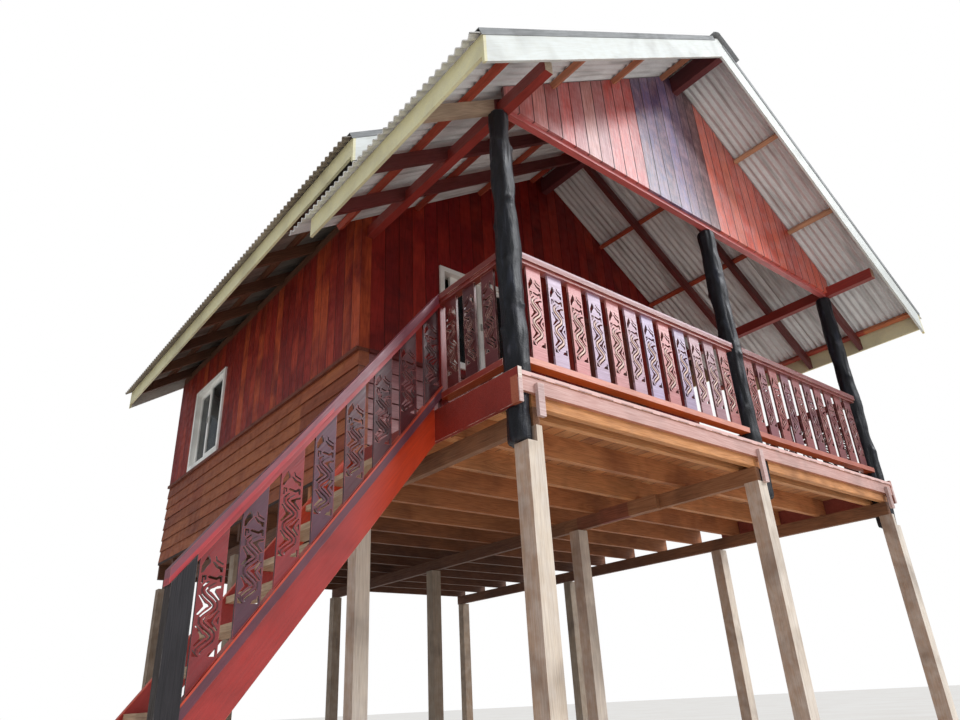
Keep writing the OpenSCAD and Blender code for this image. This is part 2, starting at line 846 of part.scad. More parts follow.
module porch_plates() {
    color("red") for (x = [plate_left_x, plate_right_x])
        box([x - plate_w / 2, x < 0 ? -plate_out : -plate_out - 50, log_top_z],
            [x + plate_w / 2, room_y - fit, log_top_z + plate_h]);
}

module tie_beam() {
    color("crimson") box([plate_left_x + plate_w / 2 + fit, tie_y, log_top_z],
        [plate_right_x - plate_w / 2 - fit, tie_y + tie_w, log_top_z + tie_h]);
}

module ridge_beam(lift, y0, y1) {
    z1 = ridge_z + lift - purlin_v;
    box([-ridge_beam_w / 2, y0, z1 - ridge_beam_h], [ridge_beam_w / 2, y1, z1]);
}

front_end = -front_overhang;
step_end = room_y - step_overhang;
back_end = back_y + back_overhang;

module ridge_beams() {
    color("indianred") {
        ridge_beam(0, front_end + edge_t + fit, room_y - fit);
        ridge_beam(roof_lift, step_end + edge_t + fit, back_end - edge_t - fit);
    }
}

// One rafter on the right side, with a plumb cut at each end and a notch over its plate
module rafter_shape(lift, plate_x, plate_half, plate_top) {
    x0 = ridge_beam_w / 2 + fit;
    x1 = eave_half - edge_t - fit;
    difference() {
        polygon([[x0, under(x0, lift) - purlin_v - fit], [x0, under(x0, lift) - purlin_v - rafter_v],
            [x1, under(x1, lift) - purlin_v - rafter_v], [x1, under(x1, lift) - purlin_v - fit]]);
        translate([plate_x - plate_half - fit, plate_top - 600])
            square([2 * (plate_half + fit), 600 + fit]);
    }
}

module rafter_pair(y, lift, left_at, right_at, plate_half, plate_top) {
    xz_prism(y - rafter_w / 2, rafter_w) rafter_shape(lift, right_at, plate_half, plate_top);
    mirror([1, 0, 0]) xz_prism(y - rafter_w / 2, rafter_w) rafter_shape(lift, left_at, plate_half, plate_top);
}

module porch_rafters() {
    first = tie_y + tie_w + fit + rafter_w / 2;
    color("darkred") for (i = [0 : 2])
        rafter_pair(first + i * (room_y - first) / 3, 0, -plate_left_x, plate_right_x, plate_w / 2,
            log_top_z + plate_h);
}

module purlin_set(side, at, lift, y0, y1, grow = 0) {
    on_slope(side, lift) for (d = at)
        translate([(eave_half - d) / cos(pitch) - purlin_w / 2 - grow, y0, -purlin_h - grow])
            cube([purlin_w + 2 * grow, y1 - y0, purlin_h - fit + 3 * grow]);
}

module porch_purlins() {
    color("chocolate") {
        purlin_set(-1, purlin_left, 0, front_end + edge_t + fit, room_y - fit);
        purlin_set(1, purlin_right, 0, front_end + edge_t + fit, room_y - fit);
    }
}

// Boarded gable in front of the tie beam, cut round the ridge beam and the purlins
gable_t = 22;

module porch_gable() {
    y0 = tie_y - fit - gable_t;
    base = log_top_z + 35;
    x0 = plate_left_x - plate_w / 2;
    x1 = plate_right_x + plate_w / 2;
    high = ridge_z - base;
    wide = eave_half + 300;
    w = ridge_beam_w / 2 + fit;
    color("saddlebrown") difference() {
        intersection() {
            translate([x0, y0, base]) linear_extrude(height = high)
                translate([0, gable_t]) mirror([0, 1]) board_profile(x1 - x0, wall_board, gable_t);
            xz_prism(y0 - 1, gable_t + 2) polygon([[0, under(0, 0) - fit], [wide, under(wide, 0) - fit],
                [wide, 0], [-wide, 0], [-wide, under(wide, 0) - fit]]);
        }
        purlin_set(-1, purlin_left, 0, y0 - 5, y0 + 40, fit);
        purlin_set(1, purlin_right, 0, y0 - 5, y0 + 40, fit);
        box([-w, y0 - 5, ridge_z - purlin_v - ridge_beam_h - fit], [w, y0 + 40, ridge_z + 100]);
        for (x = [plate_left_x, plate_right_x])
            box([x - plate_w / 2 - fit, y0 - 5, 0],
                [x + plate_w / 2 + fit, y0 + 40, log_top_z + plate_h + fit]);
    }
}

// Roof sheets: small waves that run down the slope, drawn in section along Y
wave_steps = 6;

function wave_edge(y0, y1, z) = let(n = ceil((y1 - y0) / wave_pitch * wave_steps)) [for (i = [0 : n])
    let(y = min(y1, y0 + i * wave_pitch / wave_steps))
    [y, z + wave_h / 2 * (1 - cos(360 * (y - y0) / wave_pitch))]];

function backwards(v) = [for (i = [len(v) - 1 : -1 : 0]) v[i]];

module sheet(side, lift, y0, y1) {
    on_slope(side, lift) yz_prism(fit, slope_len + sheet_over - fit)
        polygon(concat(wave_edge(y0, y1, 0), backwards(wave_edge(y0, y1, sheet_t))));
}

sheet_high = wave_h + sheet_t;

module porch_roof_sheets() {
    color("lightgray") for (side = [-1, 1]) sheet(side, 0, front_end, room_y - fit);
}

// Boards along the slopes at the front of a roof, meeting in a plumb joint under the ridge
module rake_pair(lift, y0) {
    v = rake_h / cos(pitch);
    for (m = [0, 1]) mirror([m, 0, 0]) xz_prism(y0, edge_t) polygon([[fit, under(0, lift) - fit],
        [fit, under(0, lift) - v], [eave_half, under(eave_half, lift) - v],
        [eave_half, under(eave_half, lift) - fit]]);
}

module eave_pair(lift, y0, y1) {
    z1 = under(eave_half, lift) - fit;
    for (m = [0, 1]) mirror([m, 0, 0])
        box([eave_half - edge_t, y0, z1 - eave_board_h], [eave_half, y1, z1]);
}

module porch_edge_boards() {
    color("cornsilk") {
        rake_pair(0, front_end);
        eave_pair(0, front_end + edge_t + fit, room_y - 245);
    }
}

// Room roof frame

module room_plates() {
    color("sienna") {
        box([wall_left_x + 10, wall_y, room_plate_z], [wall_left_x + wall_t, back_y, room_plate_top]);
        box([wall_right_x - wall_t, wall_y, room_plate_z], [wall_right_x - 10, back_y, room_plate_top]);
    }
}

room_rafter_count = 7;

module room_rafters() {
    gap = (back_y - room_y - 2 * wall_t - 300) / (room_rafter_count - 1);
    color("sienna") for (i = [0 : room_rafter_count - 1])
        rafter_pair(room_y + wall_t + 150 + i * gap, roof_lift, -wall_left_x - wall_t / 2 - 5,
            wall_right_x - wall_t / 2 - 5, wall_t / 2 - 5, room_plate_top);
}

module room_purlins() {
    color("sienna") for (side = [-1, 1])
        purlin_set(side, purlin_left, roof_lift, step_end + edge_t + fit, back_end - edge_t - fit);
}

module room_roof_sheets() {
    color("lightgray") for (side = [-1, 1]) sheet(side, roof_lift, step_end, back_end + 20);
}

module room_edge_boards() {
    color("cornsilk") {
        rake_pair(roof_lift, step_end);
        rake_pair(roof_lift, back_end - edge_t);
        eave_pair(roof_lift, step_end + edge_t + fit, back_end - edge_t - fit);
    }
}

// Caps: a bent strip over each slope's front edge and over each ridge
cap_metal = 4;

module slope_cap(side, lift, y) {
    on_slope(side, lift) {
        translate([80, y - fit - cap_metal, -14])
            cube([slope_len - 60, cap_metal, 14 + sheet_high + fit + cap_metal]);
        translate([80, y - fit - cap_metal, sheet_high + fit]) cube([slope_len - 60, 120, cap_metal]);
    }
}

module ridge_cap(lift, y0, y1) {
    a = 150;
    d = roof_slope * a;
    top = under(0, lift) + (sheet_high + fit) / cos(pitch);
    xz_prism(y0, y1 - y0) polygon([[0, top], [a, top - d], [a, top - d + cap_metal], [0, top + cap_metal],
        [-a, top - d + cap_metal], [-a, top - d]]);
}

module roof_caps() {
    color("gray") {
        for (side = [-1, 1]) slope_cap(side, 0, front_end);
        for (side = [-1, 1]) slope_cap(side, roof_lift, step_end);
        ridge_cap(0, front_end + 120, room_y - fit);
        ridge_cap(roof_lift, step_end + 120, back_end + 20);
    }
}

stilts_front();
stilts_second();
stilts_third();
stilts_back();
floor_beams();
floor_joists();
deck_floor();
room_floor();
deck_rims();
log_post_left();
log_post_middle();
log_post_right();
front_balustrade_left();
front_balustrade_right();
side_balustrade_left();
side_balustrade_right();
stair_strings();
stair_treads();
stair_balustrade();
newel_bottom();
newel_top();
left_wall();
right_wall();
back_wall();
front_wall();
entrance_door();
left_window();
right_window();
porch_window();
window_glass();
porch_plates();
tie_beam();
ridge_beams();
porch_rafters();
porch_purlins();
porch_gable();
porch_roof_sheets();
porch_edge_boards();
room_plates();
room_rafters();
room_purlins();
room_roof_sheets();
room_edge_boards();
roof_caps();
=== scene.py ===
"""Looks of the stilt house: a finish for every solid, and the small pieces that the solids leave out."""
import logging
import math
from collections.abc import Callable, Sequence
from dataclasses import dataclass, replace
from enum import Enum
from typing import Protocol

import bpy
from mathutils import Matrix, Vector, noise


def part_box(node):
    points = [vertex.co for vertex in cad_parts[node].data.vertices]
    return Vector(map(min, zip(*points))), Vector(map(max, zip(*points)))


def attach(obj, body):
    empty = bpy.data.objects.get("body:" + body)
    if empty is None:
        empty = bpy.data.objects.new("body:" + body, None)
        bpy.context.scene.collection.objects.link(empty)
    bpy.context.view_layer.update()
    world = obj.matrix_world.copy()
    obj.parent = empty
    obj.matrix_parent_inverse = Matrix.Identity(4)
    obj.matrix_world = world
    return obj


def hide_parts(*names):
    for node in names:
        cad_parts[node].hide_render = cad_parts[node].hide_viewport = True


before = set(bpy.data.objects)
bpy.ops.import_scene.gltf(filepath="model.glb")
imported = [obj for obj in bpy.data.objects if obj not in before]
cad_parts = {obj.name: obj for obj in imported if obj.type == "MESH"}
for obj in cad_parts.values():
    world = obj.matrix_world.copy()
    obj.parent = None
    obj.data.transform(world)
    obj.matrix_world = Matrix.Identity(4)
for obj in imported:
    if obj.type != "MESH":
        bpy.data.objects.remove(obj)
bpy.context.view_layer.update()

LOG = logging.getLogger("stilt_house")
Tone = tuple[float, float, float]
Span = tuple[float, float]
Point = tuple[float, float, float]
Piece = bpy.types.Object
Paint = bpy.types.Material

# Levels and lines of the house, in metres
DECK = 2.178
LEFT = -2.255
RIGHT = 2.175
FRONT = -0.06
ROOM = 1.735
# Both roofs have the same slope, here as rise over run and as an angle, and the same reach from the middle
SLOPE = 0.6855
PITCH = math.atan(SLOPE)
EAVES = 2.836
# The porch's ridge, and how far the room's roof lies over it
RIDGE = 5.8368
LIFT = 0.345
# The roof sheets' wave, and where the sheets of each roof begin and end
WAVE = 0.0635
PORCH_SHEETS = (-0.563, 0.86)
ROOM_SHEETS = (0.88, 6.396)
# The stair's rise over run, where its line meets the deck, and the height of that line at X = 0
STAIR_LEAN = 198 / 156
STAIR_HEAD = -2.3013
STAIR_BASE = DECK - STAIR_LEAN * STAIR_HEAD
# Upright boards of the walls and of the gable
BOARD = 0.138
# Tones that darken every kind of timber: joints, stains and soil, and the painted shade in the carved grooves
JOINT_TONE = (26, 14, 12)
STAIN_TONE = (120, 104, 98)
GROOVE_SHADE = (58, 26, 26)
SOIL_TONE = (104, 74, 56)


def linear(tone: Tone) -> tuple[float, float, float, float]:
    """Turns a colour as seen on a screen, 0 to 255, into the numbers that a shader takes.

    Args:
        tone: red, green and blue from 0 to 255.

    Returns:
        The linear colour with a full alpha.
    """
    parts = [part / 255 for part in tone]
    bent = [part / 12.92 if part <= 0.04045 else ((part + 0.055) / 1.055) ** 2.4 for part in parts]
    return bent[0], bent[1], bent[2], 1.0


class Axis(Enum):
    """A direction in which a pattern or a mark is measured. H is the height over a level or leaning line."""

    X = "X"
    Y = "Y"
    Z = "Z"
    H = "H"


class Grain(Enum):
    """Which way the fibres of a piece of timber run."""

    ALONG_X = "along x"
    ALONG_Y = "along y"
    UPRIGHT = "upright"
    DOWN_SLOPE = "down the slope"


class Value:
    """A number or a colour that changes over a surface, for use in plain arithmetic."""

    def __init__(self, tree: "NodeTree", socket: bpy.types.NodeSocket) -> None:
        """Keeps the socket and its tree."""
        self.tree = tree
        self.socket = socket

    def __add__(self, other: "Value | float") -> "Value":
        """Gives the sum."""
        return self.tree.math("ADD", self, other)

    def __sub__(self, other: "Value | float") -> "Value":
        """Gives the difference."""
        return self.tree.math("SUBTRACT", self, other)

    def __mul__(self, other: "Value | float") -> "Value":
        """Gives the product."""
        return self.tree.math("MULTIPLY", self, other)

    def __truediv__(self, other: "Value | float") -> "Value":
        """Gives the quotient."""
        return self.tree.math("DIVIDE", self, other)

    def __abs__(self) -> "Value":
        """Gives the value without its sign."""
        return self.tree.math("ABSOLUTE", self)

    def scaled(self, low: float, high: float, to_low: float = 0.0, to_high: float = 1.0) -> "Value":
        """Maps the value from one span to another, and holds it there."""
        return self.tree.add("MapRange", (self, low, high, to_low, to_high))

    def inside(self, span: Span, soft: float) -> "Value":
        """Gives 1 inside a span and 0 outside it, with a soft border."""
        rising = self.scaled(span[0] - soft, span[0] + soft)
        return rising * self.scaled(span[1] - soft, span[1] + soft, 1.0, 0.0)


class NodeTree:
    """Adds and joins nodes in a tree that it empties first."""

    def __init__(self, tree: bpy.types.NodeTree) -> None:
        """Empties the tree."""
        self.tree = tree
        self.tree.nodes.clear()

    def feed(self, socket: bpy.types.NodeSocket, value: object) -> None:
        """Links a value to a socket, or writes a plain number or colour in it.

        Args:
            socket: the input.
            value: what goes in.
        """
        if isinstance(value, Value):
            self.tree.links.new(value.socket, socket)
        else:
            socket.default_value = value

    def add(self, kind: str, inputs: dict | Sequence, output: int | str = 0, **options: object) -> Value:
        """Adds a node.

        Args:
            kind: the node's type.
            inputs: what goes in, by the inputs' names or in their order.
            output: which output is wanted.
            **options: the node's own options.

        Returns:
            The output's value.
        """
        node = self.tree.nodes.new("ShaderNode" + kind)
        for key, option in options.items():
            setattr(node, key, option)
        for key, value in inputs.items() if isinstance(inputs, dict) else enumerate(inputs):
            self.feed(node.inputs[key], value)
        return Value(self, node.outputs[output])

    def end(self, kind: str, value: Value) -> None:
        """Adds the node in which the tree ends."""
        self.feed(self.tree.nodes.new("ShaderNode" + kind).inputs[0], value)

    def math(self, operation: str, *values: "Value | float") -> Value:
        """Adds one math node."""
        return self.add("Math", values, operation=operation)

    def split(self, vector: Value) -> list[Value]:
        """Splits a vector in its three parts."""
        node = self.add("SeparateXYZ", (vector,)).socket.node
        return [Value(self, socket) for socket in node.outputs]


@dataclass(frozen=True)
class Row:
    """Boards or members side by side, each of which gets a tone and a grain of its own."""

    axis: Axis
    pitch: float
    start: float = 0.0
    weight: float = 1.0


@dataclass(frozen=True)
class Mark:
    """A part of a node with a colour of its own, given by the spans that hold it."""

    tone: Tone
    x: Span | None = None
    y: Span | None = None
    z: Span | None = None
    h: Span | None = None
    facing: Axis | None = None
    across: Axis | None = None
    amount: float = 1.0
    soft: float = 0.0015
    tones: tuple[Tone, ...] = ()
    row: Row | None = None
    dash: Row | None = None
    dash_share: float = 0.62
    on_top: bool = False

    def mask(self, tree: "ShaderTree") -> Value | float:
        """Gives the mark's mask, times its amount.

        Args:
            tree: the material's nodes.

        Returns:
            The mask, which is the plain amount if nothing bounds the mark.
        """
        spans = ((Axis.X, self.x), (Axis.Y, self.y), (Axis.Z, self.z), (Axis.H, self.h))
        parts = [tree.axes[axis].inside(span, self.soft) for axis, span in spans if span is not None]
        if self.dash is not None:
            parts.append(tree.part(self.dash).inside((0.0, self.dash_share), 0.03))
        if self.facing is not None:
            parts.append(abs(tree.normals[self.facing]).scaled(0.6, 0.8))
        if self.across is not None:
            parts.append(abs(tree.normals[self.across]).scaled(0.2, 0.5, 1.0, 0.0))
        mask: Value | float = self.amount
        for part in parts:
            mask = part * mask
        return mask

    def colour(self, tree: "ShaderTree") -> Value | Tone:
        """Gives the mark's colour, which may change from board to board.

        Args:
            tree: the material's nodes.

        Returns:
            A plain tone, or the colours of a row of boards.
        """
        if self.row is None:
            return self.tone
        whole = replace(self.row, pitch=self.row.pitch * len(self.tones))
        return tree.ramp(tree.steps(whole), self.tones, stepped=True)


class ShaderTree(NodeTree):
    """The nodes of one material and what they read from the surface."""

    def __init__(self, name: str, lean: float = 0.0, base: float = 0.0) -> None:
        """Starts a material with one shader and the object's own coordinates.

        Args:
            name: the material's name.
            lean: rise of the line from which height is measured, for each metre of X.
            base: height of that line at X = 0.
        """
        self.material = bpy.data.materials.new(name)
        self.material.use_nodes = True
        super().__init__(self.material.node_tree)
        shader = self.add("BsdfPrincipled", ())
        self.shader = shader.socket.node
        self.end("OutputMaterial", shader)
        self.place = self.add("TexCoord", (), "Object")
        x, y, z = self.split(self.place)
        self.axes = {Axis.X: x, Axis.Y: y, Axis.Z: z, Axis.H: z - (x * lean + base)}
        self.normal = self.add("NewGeometry", (), "Normal")
        self.normals = dict(zip((Axis.X, Axis.Y, Axis.Z), self.split(self.normal)))

    def noise(self, place: Value, scale: float, detail: float = 2.0, twist: float = 0.0) -> Value:
        """Adds a noise texture of so many waves, with finer layers and a twist."""
        inputs = {"Vector": place, "Scale": scale, "Detail": detail, "Distortion": twist}
        return self.add("TexNoise", inputs)

    def waves(self, parts: Sequence[Value], counts: Sequence[float], shift: float | Value = 0.0,
              detail: float = 2.0, twist: float = 0.0) -> Value:
        """Adds a noise that is drawn out in one direction.

        Args:
            parts: the three coordinates.
            counts: waves for each metre of them.
            shift: where it starts along the first one.
            detail: how many finer layers it has.
            twist: its distortion.

        Returns:
            The noise.
        """
        first, second, third = (part * count for part, count in zip(parts, counts))
        if isinstance(shift, Value):
            first = first + shift
        return self.noise(self.add("CombineXYZ", (first, second, third)), 1.0, detail, twist)

    def ramp(self, factor: Value, tones: Sequence[Tone], stepped: bool = False) -> Value:
        """Adds a colour ramp with its tones evenly spread.

        Args:
            factor: where to read the ramp, from 0 to 1.
            tones: the colours in order.
            stepped: whether each tone is held up to the next one.

        Returns:
            The colour.
        """
        colour = self.add("ValToRGB", (factor,))
        band = colour.socket.node.color_ramp
        band.interpolation = "CONSTANT" if stepped else "LINEAR"
        band.elements.remove(band.elements[-1])
        band.elements[0].position = 0.0
        band.elements[0].color = linear(tones[0])
        gaps = len(tones) if stepped else len(tones) - 1
        for index, tone in enumerate(tones[1:], start=1):
            band.elements.new(index / gaps).color = linear(tone)
        return colour

    def mix(self, mask: object, first: object, second: object, blend: str = "MIX") -> Value:
        """Mixes two colours, each a value or a plain tone."""
        low, high = (part if isinstance(part, Value) else linear(part) for part in (first, second))
        return self.add("Mix", {0: mask, 6: low, 7: high}, 2, data_type="RGBA", blend_type=blend)

    def steps(self, row: Row) -> Value:
        """Counts the boards of a row up to each point, with a fraction for the last one."""
        return (self.axes[row.axis] - row.start) / row.pitch

    def part(self, row: Row) -> Value:
        """Gives the place within one board of a row, from 0 to 1."""
        return self.math("FRACT", self.steps(row))

    def joint(self, row: Row, half: float) -> Value:
        """Gives 1 in the dark joint between two boards of a row and 0 elsewhere."""
        near = self.math("PINGPONG", self.part(row) + 1.0, 0.5) * row.pitch
        return near.scaled(half * 0.6, half * 1.6, 1.0, 0.0)

    def chance(self, rows: Sequence[Row], seed: float) -> Value:
        """Gives every board of one or more rows its own random number.

        Args:
            rows: the rows of boards.
            seed: a number that differs from finish to finish.

        Returns:
            A number from 0 to 1, the same all over one board.
        """
        total: Value | float = seed
        for row in rows:
            total = self.math("FLOOR", self.steps(row)) * row.weight + total
        return self.add("TexWhiteNoise", {"W": total}, "Value", noise_dimensions="1D")

    def bump(self, height: Value, strength: float, distance: float) -> Value:
        """Turns a height from 0 to 1 into a bent normal."""
        return self.add("Bump", {"Strength": strength, "Distance": distance, "Height": height})

    def finish(self, inputs: dict[str, object]) -> Paint:
        """Feeds the shader.

        Args:
            inputs: what goes in, by the names of the shader's inputs.

        Returns:
            The finished material.
        """
        for name, value in inputs.items():
            self.feed(self.shader.inputs[name], value)
        return self.material


class Finish(Protocol):
    """What every finish can do."""

    def material(self) -> Paint:
        """Builds the finish as a material that reads the object's coordinates."""


@dataclass(frozen=True)
class Carving:
    """The waved ribbon of the carved boards: the course of its middle line and the grooves along it."""

    row: Row
    foot: float
    height: float
    lean: float = 0.0
    first: float = 0.191
    wave: float = 0.2207
    amp: float = 0.028
    groove: Span = (0.0062, 0.0138)
    reach: Span = (0.182, 0.69)
    relief: float = 0.0034
    end: float = 0.012
    skin: float = 0.0012

    @property
    def steepest(self) -> float:
        """Gives the greatest slope of the course."""
        return 2 * math.pi * self.amp / (self.wave * self.height)

    def mask(self, tree: ShaderTree) -> Value:
        """Gives 1 in the two grooves beside the ribbon and 0 elsewhere.

        Args:
            tree: the material's nodes.

        Returns:
            The mask.
        """
        across = (tree.part(self.row) - 0.5) * self.row.pitch
        share = (across * self.lean + tree.axes[Axis.H] - self.foot) / self.height
        turn = (share - self.first) * (2 * math.pi / self.wave)
        off = abs(tree.math("COSINE", turn) * self.amp + across)
        slope = tree.math("SINE", turn) * self.steepest
        near = off / tree.math("SQRT", slope * slope + 1.0)
        return near.inside(self.groove, 0.0006) * share.inside(self.reach, 0.004)

    def ribbon(self, side: int) -> Piece:
        """Models one ribbon in relief: a waved band with a round back, on a board's face at Y = 0.

        Args:
            side: -1 if the face looks towards -Y, 1 if it looks towards Y.

        Returns:
            The ribbon, with the foot of the pattern at Z = 0.
        """
        Bench.take()
        bpy.ops.mesh.primitive_grid_add(x_subdivisions=6, y_subdivisions=56, size=1)
        piece = Bench.settle("ribbon")
        low, high = self.reach[0] + self.end, self.reach[1] - self.end
        for vertex in piece.data.vertices:
            out, along = vertex.co.x * 2, vertex.co.y + 0.5
            share = low + (high - low) * along
            turn = 2 * math.pi * (share - self.first) / self.wave
            steep = self.steepest * math.sin(turn)
            half = out * self.groove[0] * min(1.0, 0.25 + 9 * min(along, 1 - along)) / math.hypot(1.0, steep)
            rise = self.relief * math.sqrt(max(1 - out * out, 0.0)) - self.skin / 2
            vertex.co = (half - self.amp * math.cos(turn), side * rise, share * self.height - half * steep)
        Bench.finish(piece, "SOLIDIFY", thickness=self.skin, offset=0.0)
        Bench.edit(bpy.ops.mesh.normals_make_consistent, inside=False)
        bpy.ops.object.shade_smooth_by_angle(angle=math.radians(50))
        return piece


@dataclass(frozen=True)
class Timber:
    """Painted, varnished or raw wood: tones from board to board, fibres, stains, joints and wear."""

    name: str
    tones: tuple[Tone, ...]
    grain: Grain
    seed: float = 1.0
    rows: tuple[Row, ...] = ()
    joints: tuple[Row, ...] = ()
    joint_half: float = 0.003
    joint_dark: float = 0.8
    marks: tuple[Mark, ...] = ()
    streak: float = 0.45
    shade: Tone = (96, 66, 58)
    stain: float = 0.35
    # Tone of pale weathered streaks; on the gable they are partly painted sheen
    fade_and_sheen_tone: Tone | None = None
    fade: float = 0.25
    rough: Span = (0.45, 0.7)
    coat: float = 0.0
    relief: float = 0.3
    turn: float = 0.0
    mirrored: bool = False
    lean: float = 0.0
    base: float = DECK
    soil: float = 0.0
    # Tone of the pale edges: worn paint, and on the tie beam also painted sheen
    wear_and_sheen: Tone | None = None
    carving: Carving | None = None
    gloss: float = 0.5
    fine: Span = (7.0, 170.0)
    broad: Span = (0.9, 10.0)

    def fibres(self, tree: ShaderTree, chance: Value) -> tuple[Value, Value]:
        """Draws the wood's fine fibres and its broad figure along the grain.

        Args:
            tree: the material's nodes.
            chance: the number of each board, which shifts its grain.

        Returns:
            The fibres and the figure, each from 0 to 1.
        """
        x, y, z = (tree.axes[axis] for axis in (Axis.X, Axis.Y, Axis.Z))
        if self.mirrored:
            x = abs(x)
        if self.grain is Grain.DOWN_SLOPE:
            cosine, sine = math.cos(self.turn), math.sin(self.turn)
            parts = (x * cosine - z * sine, x * sine + z * cosine, y)
        else:
            parts = {Grain.ALONG_X: (x, y, z), Grain.ALONG_Y: (y, x, z), Grain.UPRIGHT: (z, x, y)}[self.grain]
        shift = chance * 43.0
        fine = tree.waves(parts, (*self.fine, self.fine[1]), shift)
        broad = tree.waves(parts, (*self.broad, self.broad[1]), shift, twist=0.7)
        return fine.scaled(0.35, 0.68), tree.math("PINGPONG", broad * 9.0, 0.5) * 2.0

    def material(self) -> Paint:
        """Builds the finish, from the boards' tones up to the pale edges, which are worn paint and, on the
        tie beam, painted sheen.

        Returns:
            The material.
        """
        tree = ShaderTree(self.name, self.lean, self.base)
        chance = tree.chance(self.rows, self.seed)
        fine, rings = self.fibres(tree, chance)
        blots = tree.noise(tree.place, 2.7, 3.0, 0.4)
        spots = tree.noise(tree.place, 13.0, 3.0)
        colour = tree.ramp((blots - 0.5) * 0.5 + chance, self.tones)
        for mark in self.marks:
            if not mark.on_top:
                colour = tree.mix(mark.mask(tree), colour, mark.colour(tree))
        if self.fade_and_sheen_tone is not None:
            # Pale streaks: weathering, and on the gable partly painted sheen
            wear_and_sheen = (rings * 0.25 + spots).scaled(0.45, 0.95, 0.0, self.fade)
            colour = tree.mix(wear_and_sheen, colour, self.fade_and_sheen_tone)
        colour = tree.mix((rings * 0.45 + fine * 0.55) * self.streak, colour, self.shade, "MULTIPLY")
        colour = tree.mix(blots.scaled(0.48, 0.75, 0.0, self.stain), colour, STAIN_TONE, "MULTIPLY")
        height = fine * -0.55 + rings * -0.2
        for row in self.joints:
            gap = tree.joint(row, self.joint_half)
            colour = tree.mix(gap * self.joint_dark, colour, JOINT_TONE)
            height = height - gap * 1.5
        for mark in self.marks:
            if mark.on_top:
                colour = tree.mix(mark.mask(tree), colour, mark.tone)
        if self.carving is not None:
            # Painted shade: the carved grooves beside the ribbon are darkened, as well as dented by the bump
            groove = self.carving.mask(tree)
            colour = tree.mix(groove * 0.8, colour, GROOVE_SHADE)
            height = height - groove * 2.0
        if self.soil > 0:
            edge = spots * self.soil + tree.axes[Axis.Z]
            colour = tree.mix(edge.scaled(self.soil * 0.6, self.soil * 1.25, 0.75, 0.0), colour, SOIL_TONE)
        # Pale edges: worn paint, and on the tie beam painted sheen
        if self.wear_and_sheen is not None:
            colour = tree.mix(self.edge_wear_and_sheen(tree, spots), colour, self.wear_and_sheen)
        return tree.finish({
            "Base Color": colour,
            "Roughness": (spots * 0.6 + fine * 0.4).scaled(0.3, 0.75, *self.rough),
            "Specular IOR Level": self.gloss,
            "Coat Weight": self.coat,
            "Coat Roughness": 0.22,
            "Normal": tree.bump(height, self.relief, 0.004),
        })

    def edge_wear_and_sheen(self, tree: ShaderTree, spots: Value) -> Value:
        """Finds the piece's sharp edges, where the paint has gone in places and, on the tie beam, a painted
        sheen lies.

        Args:
            tree: the material's nodes.
            spots: the noise that leaves paint here and there.

        Returns:
            The mask of the bare wood, which on the tie beam is painted sheen.
        """
        bevel = tree.add("Bevel", {"Radius": 0.006}, samples=4)
        bend = tree.add("VectorMath", (bevel, tree.normal), "Value", operation="DOT_PRODUCT")
        return bend.scaled(0.93, 0.99, 1.0, 0.0) * spots.scaled(0.42, 0.6, 0.0, 0.8)


@dataclass(frozen=True)
class RawBoards(Timber):
    """Planed boards that were never painted."""

    streak: float = 0.5
    stain: float = 0.5
    rough: Span = (0.55, 0.8)
    relief: float = 0.35


@dataclass(frozen=True)
class SawnTimber(RawBoards):
    """Beams and posts straight from the saw."""

    rough: Span = (0.6, 0.85)
    relief: float = 0.45


@dataclass(frozen=True)
class Stained(Timber):
    """Timber with a thin dull stain."""

    streak: float = 0.4
    rough: Span = (0.45, 0.65)
    relief: float = 0.25


@dataclass(frozen=True)
class Varnished(Timber):
    """Timber under a clear or coloured varnish."""

    streak: float = 0.3
    stain: float = 0.3
    rough: Span = (0.3, 0.5)
    coat: float = 0.3
    relief: float = 0.2


@dataclass(frozen=True)
class Covered(Timber):
    """Smooth white or grey paint that hides the wood."""

    streak: float = 0.12
    stain: float = 0.3
    rough: Span = (0.4, 0.6)
    relief: float = 0.1


@dataclass(frozen=True)
class EdgePaint(Covered):
    """White boards on the roof's slopes and cream boards along the eaves."""

    tones: tuple[Tone, ...] = ((222, 226, 222), (214, 218, 213))
    grain: Grain = Grain.DOWN_SLOPE
    turn: float = PITCH
    mirrored: bool = True
    shade: Tone = (190, 180, 150)
    fade_and_sheen_tone: Tone | None = (206, 204, 190)
    fade: float = 0.3
    marks: tuple[Mark, ...] = (Mark((228, 220, 172), x=(-2.9, -2.815), amount=0.95),
                               Mark((232, 220, 166), x=(2.815, 2.9), amount=0.95))
    wear_and_sheen: Tone | None = (170, 150, 120)


